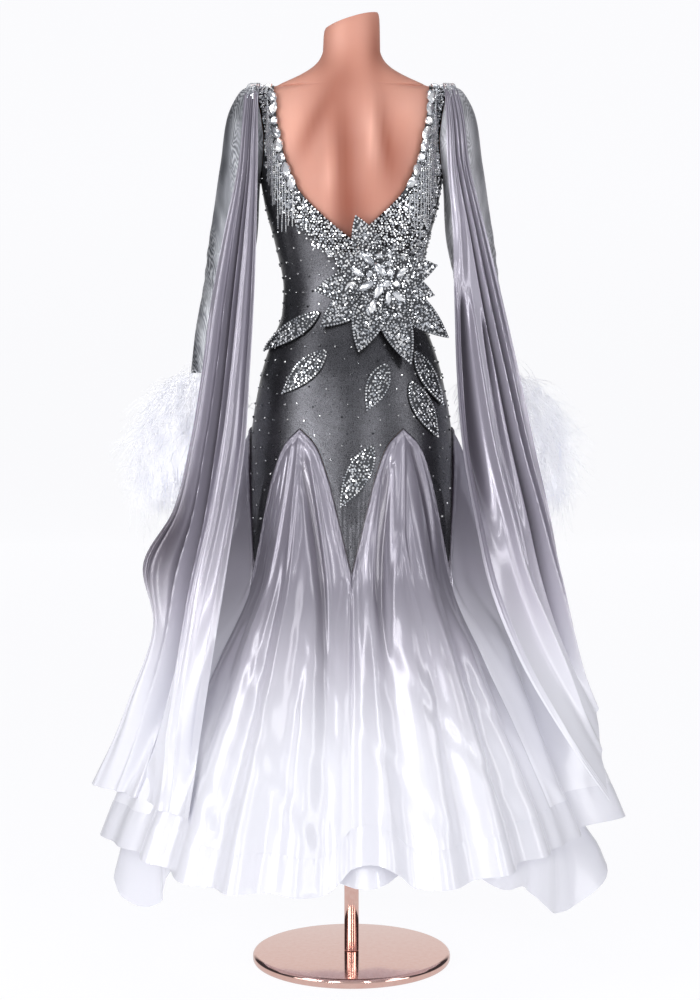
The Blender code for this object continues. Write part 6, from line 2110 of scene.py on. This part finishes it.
@dataclass
class Neckline:
    """The large stones and the bead strands along each side of the back neckline."""

    side: int
    beads_apart: float = 0.0030

    def edge(self, share: Array) -> tuple[Array, Array]:
        """Returns the angle and the height along the neckline, from the shoulder (0) to the flower (1)."""
        z = mix(1.425, 1.250, share)
        return edge_angle(BACK_NECK, z), z

    def strip(self) -> None:
        """Builds the net strip under the large stones."""
        rows, columns = 60, 7
        share = np.linspace(0.0, 1.0, rows)[:, None]
        phi, z = self.edge(share)
        wide = STONE_WIDTH / along_table(FIGURE, "half_width", z)
        across = np.linspace(-0.08, 1.0, columns)[None, :]
        height = 0.0016 + 0.0006 * np.cos((across - 0.46) * 2.8)
        grid = figure_point(phi + wide * across, np.broadcast_to(z, (rows, columns)), height)
        grid = grid * [self.side, 1, 1]
        quads = grid_quads(rows, columns).reshape(-1, 4)
        points, faces = thin_wall(grid, quads, grid * [1, 1, 0], 0.0010)
        name = side_name(self.side)
        strip = new_mesh(f"stone_strip_{name}", points, faces, NET)
        settle(strip, (f"neck_stones_{name}",))

    def jewels(self) -> None:
        """Builds the large stones, oval and round by turns, and three more on the shoulder."""
        groups = []
        share = (np.arange(NECK_STONES) + 0.35) / NECK_STONES * 0.93
        phi, z = self.edge(share)
        turn = phi + 0.44 * STONE_WIDTH / along_table(FIGURE, "half_width", z)
        here, normal, _ = surface_frames(figure_point, turn, z, 0.01, 0.001)
        ahead, low = self.edge(share + 0.02)
        along = figure_point(ahead, low) - figure_point(phi, z)
        rng = np.random.default_rng(44 + self.side)
        for k in range(NECK_STONES):
            cut, size = (ROUND_CUT, (15.5, 14.0, 5.6)) if k % 3 == 2 else (NAVETTE_CUT, (25.5, 16.0, 5.8))
            lean = normal[k] + rng.normal(0, 0.13, 3)
            made = cut.set_at((here[k] + normal[k] * 0.0020)[None], lean[None],
                                       (along[k] + rng.normal(0, 0.0014, 3))[None], np.array([size]) * MILLI)
            groups.append(mirrored(*made, self.side))
        # Three lie on the shoulder, across its top.
        for x, z, long in ((0.137, 1.4385, 17), (0.149, 1.4370, 15), (0.158, 1.4300, 14)):
            centre = figure_point(back_angle(np.array([x]), np.array([z])), z, 0.0012,
                                  float(shoulder_roll(z)))
            made = NAVETTE_CUT.set_at(centre, np.array([[0.15, -0.80, 0.55]]), np.array([[0.8, 0, -0.5]]),
                                      np.array([[long, long * 0.62, 4.6]]) * MILLI)
            groups.append(mirrored(*made, self.side))
        joined(f"neck_jewels_{side_name(self.side)}", groups, JEWEL_CRYSTAL)

    def strands(self) -> None:
        """Builds the strands of small beads that hang down over the bodice."""
        tops, downs, sizes = [], [], []
        rng = np.random.default_rng(33 + self.side)
        for row in STRANDS:
            phi, z = self.edge(np.array([row.at]))
            half = along_table(FIGURE, "half_width", z)
            start = figure_point(phi + (STONE_WIDTH * 1.15) / half, z)[0]
            count = int(row.value * rng.uniform(0.86, 1.1) / self.beads_apart)
            level = z[0] - np.arange(count) * self.beads_apart
            swing = np.sin(np.arange(count) * 0.09 + rng.uniform(0, 6))
            sway = start[0] + 0.0022 + 0.0012 * swing * np.linspace(0, 1, count)
            at = figure_point(back_angle(sway, level), level, 0.0036)
            tops.append(at)
            downs.append(np.tile([[0.0, 0.0, -1.0]], (count, 1)))
            fat = rng.uniform(0.0024, 0.0031, count)
            sizes.append(np.stack([fat, fat, np.full(count, self.beads_apart * 1.05)], axis=-1))
        centres, normals, size = np.concatenate(tops), np.concatenate(downs), np.concatenate(sizes)
        beads = BEAD_CUT.set_at(centres, normals, np.tile([[1.0, 0, 0]], (len(centres), 1)), size)
        name = side_name(self.side)
        joined(f"bead_fringe_{name}", [mirrored(*beads, self.side)], CLEAR_CRYSTAL,
               (f"bead_strands_{name}",))

    def build(self) -> None:
        """Builds the neckline's trim on one side."""
        self.strip()
        self.jewels()
        self.strands()


# ---- feather cuffs ---------------------------------------------------------------------------------------
@dataclass
class FeatherCuff:
    """An ostrich feather cuff: a soft core, locks of drooping barbs over it and long stray wisps.

    Attributes:
        side: 1 for the wearer's right and -1 for the left.
        barbs: Number of barbs in the locks.
        wisps: Number of stray barbs.
    """

    side: int
    barbs: int = 3000
    wisps: int = 760

    def reach(self, turn: Array, z: Array) -> tuple[Array, Array]:
        """Returns how far the cuff stands out from its middle, across and deep, at angles and heights."""
        wide = np.where(np.cos(turn) > 0, along_table(FEATHER_CUFF, "out", z),
                        along_table(FEATHER_CUFF, "body", z))
        deep = np.where(np.sin(turn) > 0, along_table(FEATHER_CUFF, "back", z),
                        along_table(FEATHER_CUFF, "front", z))
        return wide, deep

    def at(self, turn: Array, z: Array, share: Array) -> Array:
        """Returns points at an angle round the cuff, a height and a share of its reach."""
        wide, deep = self.reach(turn, z)
        level = np.clip(z, FEATHER_CUFF[-1].z, FEATHER_CUFF[0].z)
        x = CUFF_X + CUFF_LEAN * (0.930 - level) + wide * share * np.cos(turn)
        return at_angle(x, CUFF_Y - deep * share * np.sin(turn), z)

    def core(self) -> tuple[Array, list]:
        """Returns the vertices and faces of the soft core round the arm."""
        sides = 48
        turns = TURN * np.arange(sides) / sides
        rings = [self.hole(turns, 0.968), self.at(turns, np.full(sides, 0.968), 0.92)]
        rings += [self.at(turns, np.full(sides, z), 0.74 + 0.05 * np.sin(5 * turns + 40 * z))
                  for z in np.linspace(0.955, 0.765, 14)]
        rings += [self.hole(turns, 0.752)]
        count = len(rings)
        faces = []
        for k in range(count):
            low, high = k * sides, (k + 1) % count * sides
            faces += [[low + j, low + (j + 1) % sides, high + (j + 1) % sides, high + j]
                      for j in range(sides)]
        return np.concatenate(rings) * [self.side, 1, 1], faces

    def hole(self, turns: Array, z: float) -> Array:
        """Returns a ring of the opening that the arm goes through."""
        x = CUFF_X + CUFF_LEAN * (0.930 - z) + 0.034 * np.cos(turns)
        return at_angle(x, CUFF_Y - 0.034 * np.sin(turns), z)

    def ribbons(self, roots: Array, tips: Array, sag: Array, width: Array, rng: Dice,
                steps: int = 4) -> tuple[Array, Array]:
        """Thin tapering barbs from their roots to their tips.

        Args:
            roots: Points where they start.
            tips: Points where they end.
            sag: How far each droops in the middle.
            width: Width of each at its root.
            rng: Source of its small irregularities.
            steps: Number of lengths in a barb.

        Returns:
            Vertices and four-sided faces. A barb is a three-sided thread.
        """
        count = len(roots)
        t = np.linspace(0, 1, steps + 1)[None, :, None]
        path = roots[:, None] * (1 - t) + tips[:, None] * t
        length = np.linalg.norm(tips - roots, axis=1)[:, None, None]
        path[..., 2:] += sag[:, None, None] * 4 * t * (1 - t)
        swirl = rng.normal(0, 0.055, (count, 1, 3))
        swirl = swirl * np.sin(TURN * t * 0.75 + rng.uniform(0, TURN, (count, 1, 1)))
        path = path + swirl * length * t
        along = np.gradient(path, axis=1)
        side = np.cross(along, rng.normal(0, 1, (count, 1, 3)))
        side /= np.maximum(np.linalg.norm(side, axis=2, keepdims=True), 1e-9)
        other = np.cross(along, side)
        other /= np.maximum(np.linalg.norm(other, axis=2, keepdims=True), 1e-9)
        half = width[:, None, None] / 2 * (1 - 0.82 * t)
        corners = [path + half * (side * math.cos(a) + other * math.sin(a))
                   for a in (0, TURN / 3, 2 * TURN / 3)]
        points = np.stack(corners, axis=2).reshape(-1, 3)
        base = (np.arange(count) * (steps + 1) * 3)[:, None, None]
        k = (np.arange(steps) * 3)[None, :, None]
        j, right = np.arange(3)[None, None, :], (np.arange(3)[None, None, :] + 1) % 3
        low, high = base + k, base + k + 3
        quads = np.stack([low + j, low + right, high + right, high + j], axis=-1).reshape(-1, 4)
        return points, quads

    def clusters(self, rng: Dice) -> tuple[Array, Array]:
        """Returns the barbs of the drooping locks."""
        locks = 110
        lock_turn, lock_z = rng.uniform(0, TURN, locks), rng.uniform(0.775, 0.965, locks)
        which = rng.integers(0, locks, self.barbs)
        turn = lock_turn[which] + rng.normal(0, 0.13, self.barbs)
        z = lock_z[which] + rng.normal(0, 0.012, self.barbs)
        root = self.at(turn, np.clip(z, 0.76, 0.965), rng.uniform(0.60, 0.80, self.barbs))
        fall = rng.uniform(0.020, 0.080, self.barbs)
        tip_z = np.maximum(z - fall, 0.728 + rng.uniform(0, 0.015, self.barbs))
        tip_turn = lock_turn[which] + (turn - lock_turn[which]) * 1.8 + rng.normal(0, 0.07, self.barbs)
        tip = self.at(tip_turn, tip_z, rng.uniform(0.78, 1.0, self.barbs))
        return self.ribbons(root, tip, rng.uniform(0.004, 0.016, self.barbs),
                            rng.uniform(0.0013, 0.0024, self.barbs), rng)

    def strays(self, rng: Dice) -> tuple[Array, Array]:
        """Returns the long stray wisps, most of them to the side and down."""
        turn = rng.normal(0.0, 1.15, self.wisps)
        z = rng.uniform(0.765, 0.962, self.wisps)
        root = self.at(turn, z, rng.uniform(0.75, 0.95, self.wisps))
        tip_z = np.clip(z + rng.normal(-0.034, 0.034, self.wisps), 0.668, 0.990)
        tip = self.at(turn + rng.normal(0, 0.20, self.wisps), tip_z,
                      0.96 + 0.42 * rng.uniform(0, 1, self.wisps) ** 2)
        return self.ribbons(root, tip, rng.uniform(-0.004, 0.014, self.wisps),
                            rng.uniform(0.0010, 0.0018, self.wisps), rng)

    def build(self) -> None:
        """Builds the cuff as one piece."""
        rng = np.random.default_rng(7 + self.side)
        points, faces = self.core()
        parts, polygons = [points], faces
        mirror = [self.side, 1, 1]
        for made, quads in (self.clusters(rng), self.strays(rng)):
            start = sum(len(p) for p in parts)
            if self.side < 0:
                quads = quads[:, ::-1]
            polygons = polygons + (quads + start).tolist()
            parts.append(made * mirror)
        name = side_name(self.side)
        cuff = new_mesh(f"feather_trim_{name}", np.concatenate(parts), polygons, FEATHER)
        settle(cuff, (f"feather_cuff_{name}",))


# ---- studio ----------------------------------------------------------------------------------------------
class Softbox(NamedTuple):
    """A rectangular light: its place, aim, size and power, and whether glossy things mirror it."""

    name: str
    place: tuple[float, float, float]
    aim: tuple[float, float, float]
    wide: float
    high: float
    power: float
    reflected: bool = True


SOFTBOXES = rows_of(
    Softbox, ("softbox_left", (-2.3, -1.9, 1.9), (0, 0, 0.9), 0.8, 1.9, 24.0),
    ("softbox_right", (2.3, -1.7, 1.5), (0, 0, 0.85), 0.6, 1.9, 12.0),
    ("strip_left", (-1.26, -2.8, 1.0), (0, 0, 0.7), 0.04, 2.2, 4.5),
    ("strip_left_second", (-1.1, -2.85, 1.0), (0, 0, 0.7), 0.03, 2.2, 3.0),
    ("strip_right", (0.86, -3.0, 1.1), (0, 0, 0.8), 0.03, 2.2, 3.0),
    ("strip_right_second", (1.02, -2.95, 1.1), (0, 0, 0.8), 0.03, 2.2, 3.0),
    ("hip_sheen", (-1.75, -2.35, 1.15), (0, 0, 0.9), 0.2, 0.6, 10.0),
    ("near_left", (-1.0, -3.3, 1.35), (0, 0, 0.8), 0.45, 1.2, 8.0),
    ("near_right", (1.0, -3.2, 1.15), (0, 0, 0.7), 0.35, 1.2, 6.5),
    ("low_left", (-1.9, -1.5, 0.25), (0, 0, 0.5), 1.2, 0.6, 5.0),
    ("low_right", (1.9, -1.5, 0.25), (0, 0, 0.5), 1.2, 0.6, 7.0),
    ("front_fill", (0, -4.5, 0.9), (0, 0, 0.6), 3.0, 1.6, 18.0, False),
    ("overhead", (0, -0.9, 3.2), (0, 0, 0.9), 1.8, 1.2, 15.0),
)


@dataclass
class Studio:
    """White paper sweep, soft light and the camera."""

    camera_place: tuple[float, float, float] = (-0.0025, -3.2, 0.94)
    camera_lens: float = 69.8
    camera_shift: float = -0.110

    def backdrop(self) -> None:
        """Builds the paper floor that curves up behind."""
        bend, wall, wide = 2.4, 11.0, 16.0
        turns = np.linspace(0, math.pi / 2, 14)
        steps = [(-11.0, 0.0)] + [(wall - bend + bend * math.sin(a), bend - bend * math.cos(a))
                                  for a in turns]
        steps.append((wall, 12.0))
        points = [(x, y, z - 0.0004) for y, z in steps for x in (-wide, wide)]
        faces = [[2 * k, 2 * k + 1, 2 * k + 3, 2 * k + 2] for k in range(len(steps) - 1)]
        sweep = new_mesh("paper_sweep", np.array(points), faces, PAPER)
        sweep.visible_glossy = False

    def lights(self) -> None:
        """Adds the softboxes and the room's light."""
        for box in SOFTBOXES:
            data = bpy.data.lights.new(box.name, "AREA")
            data.shape, data.size, data.size_y = "RECTANGLE", box.wide, box.high
            data.energy = box.power
            lamp = bpy.data.objects.new(box.name, data)
            aim = Vector(box.aim) - Vector(box.place)
            turn = aim.to_track_quat("-Z", "Y").to_matrix().to_4x4()
            lamp.matrix_world = Matrix.Translation(box.place) @ turn
            lamp.visible_glossy = box.reflected
            bpy.context.scene.collection.objects.link(lamp)
        world = bpy.data.worlds.new("studio_room")
        world.use_nodes = True
        tree = world.node_tree
        shown = add_node(tree, "ShaderNodeBackground", values={"Color": linear("FCFCFE"), "Strength": 1.0})
        mild = add_node(tree, "ShaderNodeBackground", values={"Color": linear("C8C9CE"), "Strength": 0.25})
        glow = tree.nodes["Background"]
        way = add_node(tree, "ShaderNodeSeparateXYZ",
                       {0: add_node(tree, "ShaderNodeTexCoord").outputs["Generated"]}).outputs
        deep = risen(tree, way["Y"], -1.0, 1.0)
        level = ramp(tree, deep, (0.0, "D8DADE"), (0.18, "ACAEB4"), (0.33, "6E6F74"), (0.5, "48494E"),
                     (0.90, "46474C"), (0.96, "FFFFFF"))
        high = risen(tree, way["Z"], 0.45, 0.85)
        lit = tinted(tree, high, level, "C4C5CA")
        low = risen(tree, way["Z"], -0.03, -0.16)
        lit = tinted(tree, low, lit, "F6F6F8")
        tree.links.new(lit, glow.inputs["Color"])
        glow.inputs["Strength"].default_value = 0.8
        rays = add_node(tree, "ShaderNodeLightPath").outputs
        room = add_node(tree, "ShaderNodeMixShader", {0: rays["Is Glossy Ray"], 1: mild.outputs[0],
                                                      2: glow.outputs[0]})
        both = add_node(tree, "ShaderNodeMixShader", {0: rays["Is Camera Ray"], 1: room.outputs[0],
                                                      2: shown.outputs[0]})
        tree.links.new(both.outputs[0], tree.nodes["World Output"].inputs["Surface"])
        bpy.context.scene.world = world

    def camera(self) -> None:
        """Places the camera at the back of the dress."""
        data = bpy.data.cameras.new("studio_camera")
        data.lens, data.sensor_width, data.sensor_fit = self.camera_lens, 36.0, "AUTO"
        made = bpy.data.objects.new("studio_camera", data)
        data.shift_y = self.camera_shift
        turn = Matrix.Rotation(math.radians(90), 4, "X")
        made.matrix_world = Matrix.Translation(self.camera_place) @ turn
        bpy.context.scene.collection.objects.link(made)
        bpy.context.scene.camera = made

    def build(self) -> None:
        """Builds the studio."""
        self.backdrop()
        self.lights()
        self.camera()
        bpy.context.scene.view_settings.view_transform = "Standard"


def main() -> None:
    """Builds the whole visual model."""
    logging.basicConfig(level=logging.INFO, format="%(message)s")
    Stand().build()
    DressForm().build()
    Sheath().build()
    BodiceStones().build()
    HipLeaves().build()
    Flower().build()
    for side in (1, -1):
        Neckline(side).build()
    for number in range(1, GODETS + 1):
        seen = number in (1, GODETS)
        Godet(number, 118 if seen else 80, 98 if seen else 66).build()
    HemBand().build()
    Underskirt().build()
    for side in (1, -1):
        Sleeve(side, MESH_PAINTED_LIGHTER if side > 0 else MESH_CLOTH).build()
        FeatherCuff(side).build()
    Float(1, RIGHT_FLOAT, RIGHT_PLEATS, RIGHT_EDGE_LINE).build()
    Float(-1, LEFT_FLOAT, LEFT_PLEATS, LEFT_EDGE_LINE, turned=0.680).build()
    Studio().build()


if __name__ == "__main__":
    main()
